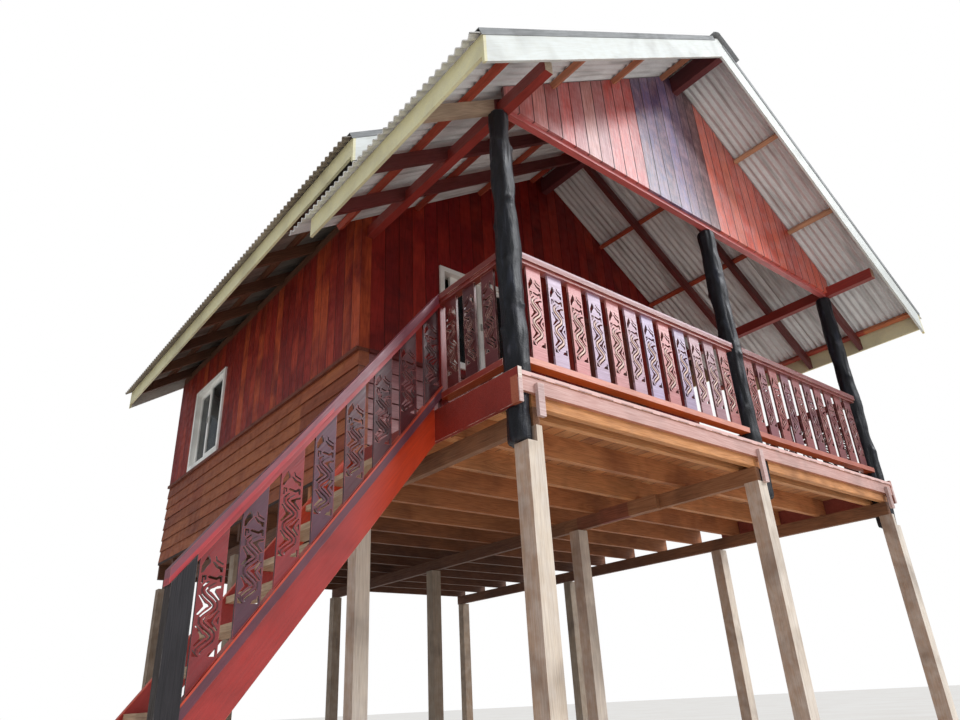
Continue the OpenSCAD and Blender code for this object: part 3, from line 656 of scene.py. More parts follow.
@dataclass(frozen=True)
class WallBoards:
    """The finish of one wall: lapped boards below, a ledge, and upright boards above."""

    name: str
    start: float
    axis: Axis
    laps: tuple[Tone, ...]
    boards: tuple[Tone, ...]
    seed: float
    ledge_tone: Tone
    lap: float = 0.125
    ledge: Span = (0.875, 0.908)

    def material(self) -> Paint:
        """Builds the finish, first both kinds of board and then the joints between them.

        Returns:
            The material.
        """
        tree = ShaderTree(self.name, 0.0, DECK)
        height = tree.axes[Axis.H]
        upright = Row(self.axis, BOARD, self.start)
        lying = (Row(Axis.H, self.lap, 0.0003), Row(self.axis, 2.3, 0.4, 17.0))
        along, face = (Grain.ALONG_X, Axis.Y) if self.axis is Axis.X else (Grain.ALONG_Y, Axis.X)
        up_chance = tree.chance((upright,), self.seed)
        low_chance = tree.chance(lying, self.seed + 0.37)
        up_fine, up_rings = Timber(self.name, self.boards, Grain.UPRIGHT).fibres(tree, up_chance)
        low_fine, low_rings = Timber(self.name, self.laps, along).fibres(tree, low_chance)
        spots = tree.noise(tree.place, 12.0, 3.0)
        drift = (tree.noise(tree.place, 1.9, 3.0, 0.5) - 0.5) * 0.7
        upper = tree.ramp(up_chance + drift, self.boards)
        lower = tree.ramp(low_chance + drift, self.laps)
        lower = tree.mix(height.inside(self.ledge, 0.001), lower, self.ledge_tone)
        up_lines = up_rings * 0.5 + up_fine * 0.5
        low_lines = low_rings * 0.5 + low_fine * 0.5
        upper = tree.mix(up_lines * 0.6, upper, (128, 56, 44), "MULTIPLY")
        lower = tree.mix(low_lines * 0.5, lower, (138, 80, 56), "MULTIPLY")
        gap = tree.joint(upright, 0.0032) * abs(tree.normals[face])
        upper = tree.mix(gap * 0.85, upper, (24, 8, 8))
        lap_gap = tree.math("FRACT", height / self.lap).scaled(0.93, 0.985, 0.0, 0.85)
        below = height.scaled(self.ledge[0] - 0.006, self.ledge[0] - 0.004, 1.0, 0.0)
        lower = tree.mix(lap_gap * below, lower, (34, 14, 12))
        above = height.scaled(self.ledge[1] - 0.001, self.ledge[1] + 0.001)
        colour = tree.mix(above, lower, upper)
        colour = tree.mix(spots.scaled(0.58, 0.75, 0.0, 0.35), colour, (120, 90, 84), "MULTIPLY")
        return tree.finish({
            "Base Color": colour,
            "Roughness": spots.scaled(0.3, 0.75, 0.4, 0.68),
            "Specular IOR Level": 0.3,
            "Coat Weight": 0.06,
            "Coat Roughness": 0.25,
            "Normal": tree.bump(up_lines - gap * 2.0, -0.15, 0.003),
        })


@dataclass(frozen=True)
class RoofSheet:
    """Weathered small-wave sheet: tones from sheet to sheet, streaks down the slope and dirt in the laps."""

    name: str
    above: tuple[Tone, ...]
    below: tuple[Tone, ...]
    start: float
    width: float = 1.01

    def material(self) -> Paint:
        """Builds the finish, with other tones below than above.

        Returns:
            The material.
        """
        tree = ShaderTree(self.name)
        down = abs(tree.axes[Axis.X]) * math.cos(PITCH) - tree.axes[Axis.Z] * math.sin(PITCH)
        along = tree.axes[Axis.Y] * 22.0
        streaks = tree.noise(tree.add("CombineXYZ", (down * 1.6, along, 0.0)), 1.0)
        blots = tree.noise(tree.place, 3.1, 4.0, 0.5)
        grit = tree.noise(tree.place, 160.0)
        spread = (blots - 0.5) * 0.9 + tree.chance((Row(Axis.Y, self.width, self.start),), 5.0)
        up = tree.normals[Axis.Z].scaled(-0.2, 0.2)
        colour = tree.mix(up, tree.ramp(spread, self.below), tree.ramp(spread, self.above))
        colour = tree.mix(streaks.scaled(0.5, 0.72, 0.0, 0.45), colour, (112, 102, 92), "MULTIPLY")
        colour = tree.mix(blots.scaled(0.55, 0.72, 0.0, 0.6) * up, colour, (74, 78, 64))
        lap = tree.joint(Row(Axis.Y, self.width, self.start + 0.03), 0.0035)
        colour = tree.mix(lap * 0.7, colour, (52, 46, 42))
        colour = tree.mix(grit.scaled(0.5, 0.8, 0.0, 0.25), colour, (90, 84, 78), "MULTIPLY")
        return tree.finish({"Base Color": colour, "Roughness": streaks.scaled(0.3, 0.7, 0.62, 0.88),
                            "Normal": tree.bump(grit, 0.25, 0.002)})


@dataclass(frozen=True)
class BlackLog:
    """Thick black gloss paint over a knobbly log, scuffed to grey and brown here and there; the blue tint of
    its lighter tones and of the scuffs is painted sky reflection.
    """

    name: str = "black_log"
    # The lighter tones are tinted blue: painted sky reflection on the gloss paint
    tones: tuple[Tone, ...] = ((13, 13, 18), (23, 24, 31), (42, 46, 60))

    def material(self) -> Paint:
        """Builds the finish.

        Returns:
            The material.
        """
        tree = ShaderTree(self.name)
        parts = [tree.axes[axis] for axis in (Axis.X, Axis.Y, Axis.Z)]
        ridges = tree.waves(parts, (26.0, 26.0, 5.0), detail=3.0, twist=0.8)
        blots = tree.noise(tree.place, 9.0, 4.0, 0.3)
        fine = tree.noise(tree.place, 120.0)
        colour = tree.ramp(ridges.scaled(0.3, 0.8), self.tones)
        return tree.finish({
            # Grey scuffs, tinted blue as painted sky reflection
            "Base Color": tree.mix(blots.scaled(0.64, 0.76, 0.0, 0.4), colour, (90, 87, 96)),
            "Roughness": blots.scaled(0.3, 0.7, 0.36, 0.62),
            "Specular IOR Level": 0.4,
            "Coat Weight": 0.12,
            "Coat Roughness": 0.25,
            "Normal": tree.bump(ridges * 0.8 + fine * 0.3, 0.7, 0.014),
        })


@dataclass(frozen=True)
class PaneGlass:
    """Dark clear window glass with a little dust on it."""

    name: str = "dark_pane"

    def material(self) -> Paint:
        """Builds the finish.

        Returns:
            The material.
        """
        tree = ShaderTree(self.name)
        dust = tree.noise(tree.place, 5.0, 5.0, 0.4)
        return tree.finish({
            "Base Color": tree.mix(dust.scaled(0.45, 0.8, 0.0, 0.5), (44, 52, 54), (104, 112, 110)),
            "Roughness": dust.scaled(0.3, 0.8, 0.04, 0.2),
            "Transmission Weight": 0.55,
            "IOR": 1.45,
        })


@dataclass(frozen=True)
class Metal:
    """Galvanised or painted steel of small fittings, dulled and a little rusty."""

    name: str
    tone: Tone
    rust: float
    shine: float = 0.8

    def material(self) -> Paint:
        """Builds the finish.

        Returns:
            The material.
        """
        tree = ShaderTree(self.name)
        blots = tree.noise(tree.place, 60.0, 4.0)
        return tree.finish({
            "Base Color": tree.mix(blots.scaled(0.5, 0.7, 0.0, self.rust), self.tone, (112, 64, 40)),
            "Roughness": blots.scaled(0.3, 0.7, 0.35, 0.7),
            "Metallic": self.shine,
            "Normal": tree.bump(blots, 0.2, 0.001),
        })


class Bench:
    """Makes pieces with Blender's own modelling operators."""

    @staticmethod
    def take(*pieces: Piece) -> None:
        """Leaves edit mode and selects the given pieces only.

        Args:
            *pieces: the pieces, the first of which becomes active.
        """
        if bpy.context.mode != "OBJECT":
            bpy.ops.object.mode_set(mode="OBJECT")
        bpy.ops.object.select_all(action="DESELECT")
        for piece in pieces:
            piece.select_set(True)
            bpy.context.view_layer.objects.active = pieces[0]

    @staticmethod
    def settle(name: str) -> Piece:
        """Names the active piece and puts its place into its mesh.

        Args:
            name: the piece's name.

        Returns:
            The piece.
        """
        piece = bpy.context.view_layer.objects.active
        piece.name = name
        piece.data.name = name
        bpy.ops.object.transform_apply(location=True, rotation=True, scale=True)
        return piece

    @staticmethod
    def edit(operator: Callable[..., object], **settings: object) -> None:
        """Runs a mesh operator on the whole of the active piece.

        Args:
            operator: the operator.
            **settings: what it is told.
        """
        bpy.ops.object.mode_set(mode="EDIT")
        bpy.ops.mesh.select_all(action="SELECT")
        operator(**settings)
        bpy.ops.object.mode_set(mode="OBJECT")

    @staticmethod
    def finish(piece: Piece, kind: str, **settings: object) -> None:
        """Adds a modifier to a piece and applies it.

        Args:
            piece: the piece, which becomes the active object.
            kind: the modifier's type.
            **settings: its properties.
        """
        Bench.take(piece)
        modifier = piece.modifiers.new(kind.lower(), kind)
        for key, value in settings.items():
            setattr(modifier, key, value)
        bpy.ops.object.modifier_apply(modifier=modifier.name)

    @staticmethod
    def plank(low: Sequence[float], high: Sequence[float], edge: float, steps: int = 2) -> Piece:
        """Makes a plank with slightly rounded edges.

        Args:
            low: its lowest corner.
            high: its highest corner.
            edge: radius of its edges.
            steps: how many faces round an edge.

        Returns:
            The piece.
        """
        Bench.take()
        bpy.ops.mesh.primitive_cube_add(size=1, location=[(a + b) / 2 for a, b in zip(low, high)])
        bpy.context.view_layer.objects.active.scale = [b - a for a, b in zip(low, high)]
        piece = Bench.settle("plank")
        Bench.finish(piece, "BEVEL", width=edge, segments=steps)
        return piece

    @staticmethod
    def stud(radius: float, height: float, washer: float, plate: float = 0.003) -> Piece:
        """Makes a six-sided head on a round washer, standing on the ground at the middle, looking up.

        Args:
            radius: half the head's width.
            height: the head's height.
            washer: radius of the washer.
            plate: its thickness.

        Returns:
            The piece.
        """
        Bench.take()
        bpy.ops.mesh.primitive_cylinder_add(vertices=12, radius=washer, depth=plate,
                                            location=(0, 0, plate / 2))
        bpy.ops.object.mode_set(mode="EDIT")
        bpy.ops.mesh.select_all(action="DESELECT")
        bpy.ops.mesh.primitive_cylinder_add(vertices=6, radius=radius, depth=height,
                                            location=(0, 0, plate + height / 2))
        bpy.ops.object.mode_set(mode="OBJECT")
        piece = Bench.settle("stud")
        Bench.finish(piece, "BEVEL", width=min(radius, height) * 0.18, segments=1, limit_method="ANGLE")
        return piece

    @staticmethod
    def copies(master: Piece, name: str, places: Sequence[Matrix]) -> Piece:
        """Copies a piece to many places, each with its own mesh, and joins the copies in one piece.

        Args:
            master: the piece that repeats, which is removed at the end.
            name: the joined piece's name.
            places: where each copy goes.

        Returns:
            The joined piece.
        """
        made = []
        for place in places:
            Bench.take(master)
            bpy.ops.object.duplicate(linked=False)
            twin = bpy.context.view_layer.objects.active
            twin.matrix_world = place
            bpy.ops.object.transform_apply(location=True, rotation=True, scale=True)
            made.append(twin)
        bpy.data.objects.remove(master)
        return Bench.join(made, name)

    @staticmethod
    def join(pieces: Sequence[Piece], name: str) -> Piece:
        """Joins pieces in one and names it.

        Args:
            pieces: two or more pieces.
            name: the joined piece's name.

        Returns:
            The joined piece.
        """
        Bench.take(*pieces)
        bpy.ops.object.join()
        return Bench.settle(name)

    @staticmethod
    def copy_of(node: str, name: str) -> Piece:
        """Copies a solid's mesh to a new piece and merges its loose triangles.

        Args:
            node: the solid's node.
            name: the new piece's name.

        Returns:
            The new piece.
        """
        piece = bpy.data.objects.new(name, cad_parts[node].data.copy())
        bpy.context.scene.collection.objects.link(piece)
        Bench.take(piece)
        Bench.edit(bpy.ops.mesh.remove_doubles, threshold=0.0001)
        return piece


def facing(place: Sequence[float], direction: Sequence[float], spin: float = 0.0) -> Matrix:
    """Gives the place of a copy whose own Z looks along a direction.

    Args:
        place: where its foot stands.
        direction: where it looks.
        spin: its turn about that direction, in degrees.

    Returns:
        The matrix of the copy.
    """
    turn = Vector(direction).to_track_quat("Z", "Y").to_matrix().to_4x4()
    return Matrix.Translation(Vector(place)) @ turn @ Matrix.Rotation(math.radians(spin), 4, "Z")


class Assembly:
    """Shared ways of a sub-assembly: it dresses solids and hands pieces to the frame."""

    def dress(self, nodes: str, finish: Finish) -> Paint:
        """Gives one or more solids their finish.

        Args:
            nodes: the solids' nodes, with a space between two of them.
            finish: the finish that they share.

        Returns:
            Its material.
        """
        material = finish.material()
        for node in nodes.split():
            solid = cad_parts[node]
            for slot in solid.material_slots:
                slot.link = "OBJECT"
                slot.material = material
            if not solid.material_slots:
                solid.data.materials.append(material)
            LOG.info("dressed %s in %s", node, material.name)
        return material

    def keep(self, piece: Piece, material: Paint, slot: str) -> None:
        """Gives a new piece its finish and its body.

        Args:
            piece: the piece.
            material: its finish.
            slot: the slot of the frame that it belongs to; not used.
        """
        piece.data.materials.clear()
        piece.data.materials.append(material)
        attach(piece, "root")
        LOG.info("made %s with %d faces", piece.name, len(piece.data.polygons))

    def lay_ribbons(self, name: str, carving: Carving, places: dict[int, list[Matrix]],
                    material: Paint) -> None:
        """Lays the ribbons in relief on both faces of a balustrade's boards.

        Args:
            name: the joined piece's name.
            carving: their pattern.
            places: where the ribbons of each side stand.
            material: their finish.
        """
        made = [Bench.copies(carving.ribbon(side), "ribbons", spots) for side, spots in places.items()]
        self.keep(Bench.join(made, name), material, "rail_paint")


@dataclass
class Stilts(Assembly):
    """The twelve sawn stilts and the bolts through their laps: side, Y, Z and turn of each bolt."""

    bolt_radius: float = 0.011
    bolt_height: float = 0.012
    washer: float = 0.021
    spots: tuple[tuple[float, ...], ...] = (
        (-1, 0.03, 1.845, 12), (-1, 0.03, 1.905, 40), (-1, 1.735, 1.80, 25), (-1, 1.775, 1.855, 5),
        (1, 0.03, 1.845, 12), (1, 0.03, 1.905, 40),
    )

    def dress_all(self) -> None:
        """Dresses the four rows, paler in front; behind, the darker tones are painted shade under the house,
        and there is more soil.
        """
        rows = (Row(Axis.X, 1.1, -2.8, 3.0), Row(Axis.Y, 1.1, -0.55, 7.0))
        self.dress("stilts_front stilts_second", SawnTimber(
            "raw_stilt", ((234, 220, 200), (240, 228, 212), (224, 206, 184)), Grain.UPRIGHT, 2.0, rows,
            streak=0.42, relief=0.5, soil=0.28, fade_and_sheen_tone=(244, 238, 230), fade=0.45, shade=(164, 138, 116),
            # Painted shade: the sides that face along X are darker and browner
            marks=(Mark((176, 138, 110), facing=Axis.X, amount=0.75),)))
        # Darker tones behind: painted shade under the house
        self.dress("stilts_third stilts_back", SawnTimber(
            "raw_stilt_behind", ((160, 142, 122), (146, 120, 96), (170, 154, 134)), Grain.UPRIGHT, 3.0, rows,
            relief=0.5, soil=0.34, fade_and_sheen_tone=(200, 190, 176), fade=0.5, shade=(120, 94, 74)))

    def bolts(self) -> None:
        """Sets the bolt heads on the laps of the two corner stilts."""
        faces = {-1: LEFT - 0.0005, 1: RIGHT + 0.0005}
        places = [facing((faces[side], y, z), (side, 0, 0), spin) for side, y, z, spin in self.spots]
        master = Bench.stud(self.bolt_radius, self.bolt_height, self.washer)
        piece = Bench.copies(master, "stilt_bolts", places)
        self.keep(piece, Metal("bolt_steel", (122, 116, 110), 0.6).material(), "stilt_wood")


@dataclass
class Floor(Assembly):
    """Beams with their red splice, joists, floor boards and edge boards."""

    board: float = 0.122
    joist_step: float = (6.254 - 0.045 - 0.095) / 13

    def dress_all(self) -> None:
        """Dresses every node of the floor."""
        self.dress("floor_beams", SawnTimber(
            "raw_beam", ((150, 104, 70), (168, 116, 78), (134, 90, 60)), Grain.ALONG_Y, 4.0,
            (Row(Axis.X, 1.5, -2.9, 5.0), Row(Axis.Y, 2.1, -0.2, 3.0)), stain=0.45, shade=(110, 72, 52),
            marks=(Mark((132, 46, 34), x=(-0.0675, -0.0251), y=(1.12, 1.74)),
                   # The next mark darkens the beams towards the back: painted shade under the house
                   Mark((92, 54, 36), y=(2.0, 7.0), amount=0.8, soft=0.8))))
        self.dress("floor_joists", SawnTimber(
            "raw_joist", ((226, 158, 98), (208, 138, 84), (236, 172, 112), (192, 124, 76)), Grain.ALONG_X,
            5.0, (Row(Axis.Y, self.joist_step, -0.02),), shade=(120, 78, 54),
            # Both marks darken the joists towards the back: painted shade under the house
            marks=(Mark((178, 110, 66), y=(1.0, 7.0), amount=0.8, soft=0.5),
                   Mark((70, 40, 26), y=(3.0, 7.0), amount=0.85, soft=0.8))))
        deck, room = Row(Axis.X, self.board, -2.2743), Row(Axis.X, self.board, LEFT - 0.014)
        front = (-0.3, FRONT - 0.0065)
        self.dress("deck_floor", RawBoards(
            "raw_deck_boards", ((218, 150, 94), (198, 130, 80), (230, 170, 114), (176, 114, 74)),
            Grain.ALONG_Y, 6.0, (deck,), (deck,), shade=(120, 78, 54),
            marks=(Mark((232, 190, 182), y=front, on_top=True),
                   # Painted shadow: the dark dashes below the boards' front ends stand for the slots over the
                   # rim
                   Mark((78, 40, 36), y=front, z=(DECK - 0.03, DECK - 0.018), across=Axis.Z, amount=0.8,
                        dash=Row(Axis.X, 0.186, -2.21), soft=0.003, on_top=True))))
        # The room's floor boards take darker tones than the deck's: painted shade deep under the room
        self.dress("room_floor", RawBoards(
            "raw_room_boards", ((128, 82, 52), (112, 70, 44), (140, 92, 60)), Grain.ALONG_Y, 7.0,
            (room,), (room,), shade=(120, 78, 54)))
        self.dress("deck_rims", Timber(
            "rim_stain", ((226, 180, 170), (214, 164, 152), (232, 196, 186)), Grain.ALONG_X, 8.0,
            streak=0.4, stain=0.4, shade=(170, 104, 92), wear_and_sheen=(232, 206, 190),
            marks=(Mark((144, 38, 20), x=(-3.0, LEFT - 0.018), y=(-0.066, 3.0)),
                   Mark((144, 38, 20), x=(RIGHT + 0.018, 3.0), y=(-0.066, 3.0)),
                   # Painted sunlight: the left rim's front end is white
                   Mark((238, 226, 214), x=(-3.0, LEFT - 0.018), y=(-0.2, -0.066)),
                   Mark((224, 196, 190), y=(-0.1, FRONT - 0.001), z=(1.8, DECK - 0.05)),
                   Mark((196, 120, 84), y=(-0.059, 0.0), across=Axis.Y, z=(1.8, DECK - 0.03), amount=0.6))))


@dataclass
class LogPosts(Assembly):
    """The three black logs: the solids' trunks with long rough ridges, softened knots and a few scars.

    Each kind of roughness has its waves for each metre across and along the log, and its height.
    """

    voxel: float = 0.0085
    knot_softness: int = 22
    ridge_waves: Span = (34, 3.2)
    ridge: float = 0.0065
    lump_waves: Span = (9, 5.5)
    lump: float = 0.006
    scar_waves: Span = (16, 14)
    scar: float = 0.006
    swell: float = 0.0015

    @staticmethod
    def wander(place: Vector, waves: Span, shift: float = 0.0) -> float:
        """Gives a noise with so many waves for each metre across and along a log."""
        return noise.noise(Vector((place.x * waves[0], place.y * waves[0], place.z * waves[1] + shift)))

    def roughen(self, node: str, material: Paint) -> None:
        """Makes a rough log over a solid's own shape and lets it stand for the solid.

        Args:
            node: the solid's node.
            material: its finish.
        """
        piece = Bench.copy_of(node, node.replace("post", "rough"))
        Bench.finish(piece, "REMESH", mode="VOXEL", voxel_size=self.voxel)
        Bench.finish(piece, "SMOOTH", factor=0.8, iterations=self.knot_softness)
        low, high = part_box(node)
        normals = [vertex.normal.copy() for vertex in piece.data.vertices]
        for vertex, normal in zip(piece.data.vertices, normals):
            place = vertex.co.copy()
            rise = self.ridge * self.wander(place, self.ridge_waves)
            rise += self.lump * self.wander(place, self.lump_waves)
            rise -= self.scar * max(self.wander(place, self.scar_waves, 7) - 0.35, 0)
            vertex.co = place + normal * (rise + self.swell)
            vertex.co.z = min(max(vertex.co.z, low.z), high.z)
        Bench.take(piece)
        bpy.ops.object.shade_smooth()
        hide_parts(node)
        self.keep(piece, material, "log_paint")

    def build(self) -> None:
        """Makes the three rough logs."""
        nodes = "log_post_left log_post_middle log_post_right"
        material = self.dress(nodes, BlackLog())
        for node in nodes.split():
            self.roughen(node, material)


@dataclass(frozen=True)
class Rails:
    """One level balustrade: where its boards stand, their colours in order, and those of its rails."""

    node: str
    finish: str
    axis: Axis
    line: float
    first: float
    step: float
    tones: tuple[Tone, ...]
    rail: Tone
    low_rail: Tone
    # Tone of the bottom rail's underside: painted bounce light from the ground
    under: Tone
    batten: Tone
    seed: float
    sunlit: bool = False

    @property
    def row(self) -> Row:
        """Gives the row of its boards."""
        return Row(self.axis, self.step, self.first - self.step / 2)


@dataclass
class Balustrades(Assembly):
    """The level balustrades of the porch: handrail, batten, bottom rail and pierced carved boards."""

    rail_low: float = 0.797
    rail_top: float = 0.9
    batten_low: float = 0.774
    boards: Span = (0.134, 0.774)
    carved_t: float = 0.015
    sunlit_face: Span = (-0.03, -0.0155)

    def finish(self, rails: Rails) -> Timber:
        """Chooses the finish of one balustrade.

        Args:
            rails: the balustrade.

        Returns:
            The finish.
        """
        grain, across = (Grain.ALONG_X, Axis.Y) if rails.axis is Axis.X else (Grain.ALONG_Y, Axis.X)
        marks = [
            Mark(rails.tones[0], h=self.boards, row=rails.row, tones=rails.tones),
            # Painted shade on the boards' sides and on the walls of their piercings
            Mark((92, 44, 42), h=(self.boards[0] + 0.08, self.boards[1] - 0.06), across=across, amount=0.75),
            Mark(rails.batten, h=(self.batten_low, self.rail_low)),
            Mark(rails.rail, h=(self.rail_low, self.rail_top)),
            Mark(rails.low_rail, h=(0.05, self.boards[0])),
            # Painted bounce light: the bottom rail's underside in bright orange
            Mark(rails.under, h=(0.05, 0.0955)),
        ]
        if rails.sunlit:
            marks.append(Mark((218, 190, 206), y=self.sunlit_face, h=(self.rail_low + 0.03, self.rail_top),
                              amount=0.8, soft=0.004))
        return Varnished(
            rails.finish, ((150, 60, 52), (168, 78, 66)), grain, rails.seed, (rails.row,),
            marks=tuple(marks), streak=0.32, rough=(0.28, 0.5), coat=0.35, shade=(140, 70, 66),
            wear_and_sheen=(226, 178, 160), carving=self.carving(rails))

    def carving(self, rails: Rails) -> Carving:
        """Gives the pattern of one balustrade's boards."""
        return Carving(rails.row, self.boards[0], self.boards[1] - self.boards[0])

    def ribbons(self, rails: Rails, material: Paint) -> None:
        """Lays the ribbons of one balustrade.

        Args:
            rails: the balustrade.
            material: the ribbons' finish.
        """
        places: dict[int, list[Matrix]] = {}
        for side in (-1, 1):
            for index in range(len(rails.tones)):
                middle = rails.first + index * rails.step
                spot = (middle, rails.line + side * self.carved_t / 2, DECK + self.boards[0])
                turn = Matrix.Identity(4)
                if rails.axis is Axis.Y:
                    spot = (rails.line - side * self.carved_t / 2, middle, DECK + self.boards[0])
                    turn = Matrix.Rotation(math.pi / 2, 4, "Z")
                places.setdefault(side, []).append(Matrix.Translation(spot) @ turn)
        self.lay_ribbons(rails.node + "_ribbons", self.carving(rails), places, material)

    def dress_all(self) -> None:
        """Dresses the four balustrades and the slim newel, and lays the ribbons."""
        # The lilac tones among the front left boards are painted sky reflection on the varnish; the pink ones
        # are the boards' own colour
        left = ((220, 146, 144), (206, 182, 204), (216, 138, 136), (200, 174, 198), (218, 148, 146),
                (200, 162, 178), (192, 174, 204), (212, 136, 134), (182, 162, 190), (198, 156, 162),
                (176, 134, 142), (184, 112, 108))
        right = ((168, 94, 90), (150, 92, 98), (172, 98, 94), (140, 88, 98), (158, 90, 88),
                 (130, 76, 82), (152, 82, 80), (138, 76, 78), (150, 82, 78), (128, 68, 70))
        side = ((100, 34, 34), (84, 30, 32), (106, 36, 32), (118, 54, 54), (126, 60, 58), (110, 50, 50),
                (130, 58, 54), (120, 56, 56), (124, 56, 52))
        panels = (
            Rails("front_balustrade_left", "front_left_rails", Axis.X, 0.0235, -2.033, 0.18095, left,
                  (152, 78, 74), (236, 160, 138), (232, 116, 56), (150, 56, 44), 11.0, True),
            Rails("front_balustrade_right", "front_right_rails", Axis.X, 0.0235, 0.3115, 0.1846, right,
                  (140, 72, 68), (206, 124, 106), (206, 100, 56), (134, 48, 40), 12.0),
            Rails("side_balustrade_left", "side_left_rails", Axis.Y, LEFT + 0.0225, 0.212, 0.18835, side[:3],
                  (118, 38, 28), (146, 48, 32), (190, 76, 40), (128, 46, 38), 13.0),
            Rails("side_balustrade_right", "side_right_rails", Axis.Y, RIGHT - 0.0225, 0.212, 0.1781, side,
                  (150, 72, 66), (150, 66, 52), (180, 84, 52), (128, 46, 38), 14.0),
        )
        paints = [self.dress(rails.node, self.finish(rails)) for rails in panels]
        paints[0] = Varnished(
            "ribbon_sheen", ((150, 76, 72), (134, 62, 60)), Grain.UPRIGHT, 16.0, rough=(0.28, 0.46),
            coat=0.35, relief=0.1, marks=(Mark((242, 204, 186), y=(-0.1, 0.0235)),)).material()
        for rails, paint in zip(panels, paints):
            self.ribbons(rails, paint)
        self.dress("newel_top", Varnished(
            "slim_newel", ((122, 26, 24), (140, 34, 30)), Grain.UPRIGHT, 15.0, streak=0.4))


@dataclass
class Stair(Assembly):
    """The side stair: two strings, raw treads, the leaning balustrade and the dark newel."""

    cap_top: float = 0.1266
    board_top: float = 0.6971
    rail_low: float = 0.7343
    pattern: Span = (0.1115, 0.5848)
    line: float = 0.71
    carved_t: float = 0.015
    rise: float = 0.198
    board_step: float = 0.17644

    def dress_all(self) -> None:
        """Dresses every node of the stair and lays the ribbons."""
        leaning = {"turn": -math.atan(STAIR_LEAN), "lean": STAIR_LEAN, "base": STAIR_BASE}
        self.dress("stair_strings", Varnished(
            "string_paint", ((166, 46, 42), (178, 54, 48), (152, 38, 36)), Grain.DOWN_SLOPE, 21.0,
            stain=0.45, rough=(0.34, 0.56), coat=0.2, relief=0.15, shade=(150, 66, 60), wear_and_sheen=(206, 110, 90),
            marks=(Mark((214, 66, 22), x=(-2.74, -2.2), amount=0.9, soft=0.14),
                   Mark((222, 84, 50), h=(0.046, 0.2), amount=0.8)), **leaning))
        self.dress("stair_treads", RawBoards(
            "raw_tread", ((206, 176, 144), (192, 158, 124), (216, 188, 156)), Grain.ALONG_Y, 22.0,
            (Row(Axis.Z, self.rise),), relief=0.4, shade=(130, 96, 74)))
        # The lilac tones among the stair's boards are painted sky reflection on the varnish; the red ones are
        # the boards' own colour
        tones = ((146, 50, 52), (98, 58, 72), (150, 48, 50), (100, 58, 74), (90, 44, 52), (82, 32, 38),
                 (94, 36, 40), (78, 26, 30))
        first = STAIR_HEAD - 0.017 - (len(tones) - 1) * self.board_step
        row = Row(Axis.X, self.board_step, first - self.board_step / 2)
        carving = Carving(row, *self.pattern, STAIR_LEAN)
        paint = self.dress("stair_balustrade", Varnished(
            "stair_rails", ((160, 66, 60), (176, 84, 80)), Grain.DOWN_SLOPE, 23.0, (row,), rough=(0.3, 0.52),
            coat=0.2, shade=(120, 62, 62), wear_and_sheen=(190, 84, 76), carving=carving,
            marks=(Mark(tones[0], h=(self.cap_top, self.board_top), row=row, tones=tones),
                   # Painted shade on the boards' sides and on the walls of their piercings
                   Mark((70, 34, 38), h=(self.cap_top + 0.06, self.board_top - 0.06), across=Axis.Y,
                        amount=0.75),
                   Mark((104, 58, 72), h=(0.03, self.cap_top), amount=0.95),
                   Mark((214, 76, 44), h=(self.cap_top - 0.014, self.cap_top + 0.001), amount=0.95),
                   Mark((176, 52, 56), h=(self.board_top, self.rail_low)),
                   Mark((136, 72, 86), h=(self.rail_low, 0.9), amount=0.95),
                   Mark((188, 56, 62), x=(-4.0, -3.0), h=(self.rail_low, self.rail_low + 0.03), soft=0.004)),
            **leaning))
        middles = [first + index * self.board_step for index in range(len(tones))]
        places = {side: [Matrix.Translation((x, self.line + side * self.carved_t / 2,
                                             STAIR_BASE + STAIR_LEAN * x + self.pattern[0]))
                         for x in middles] for side in (-1, 1)}
        self.lay_ribbons("stair_ribbons", carving, places, paint)
        self.dress("newel_bottom", Timber(
            "newel_paint", ((44, 41, 44), (52, 49, 53)), Grain.UPRIGHT, 24.0, stain=0.4, relief=0.35,
            soil=0.1, shade=(90, 84, 84), gloss=0.35, wear_and_sheen=(104, 98, 96),
            marks=(Mark((62, 48, 40), facing=Axis.X, amount=0.7),)))


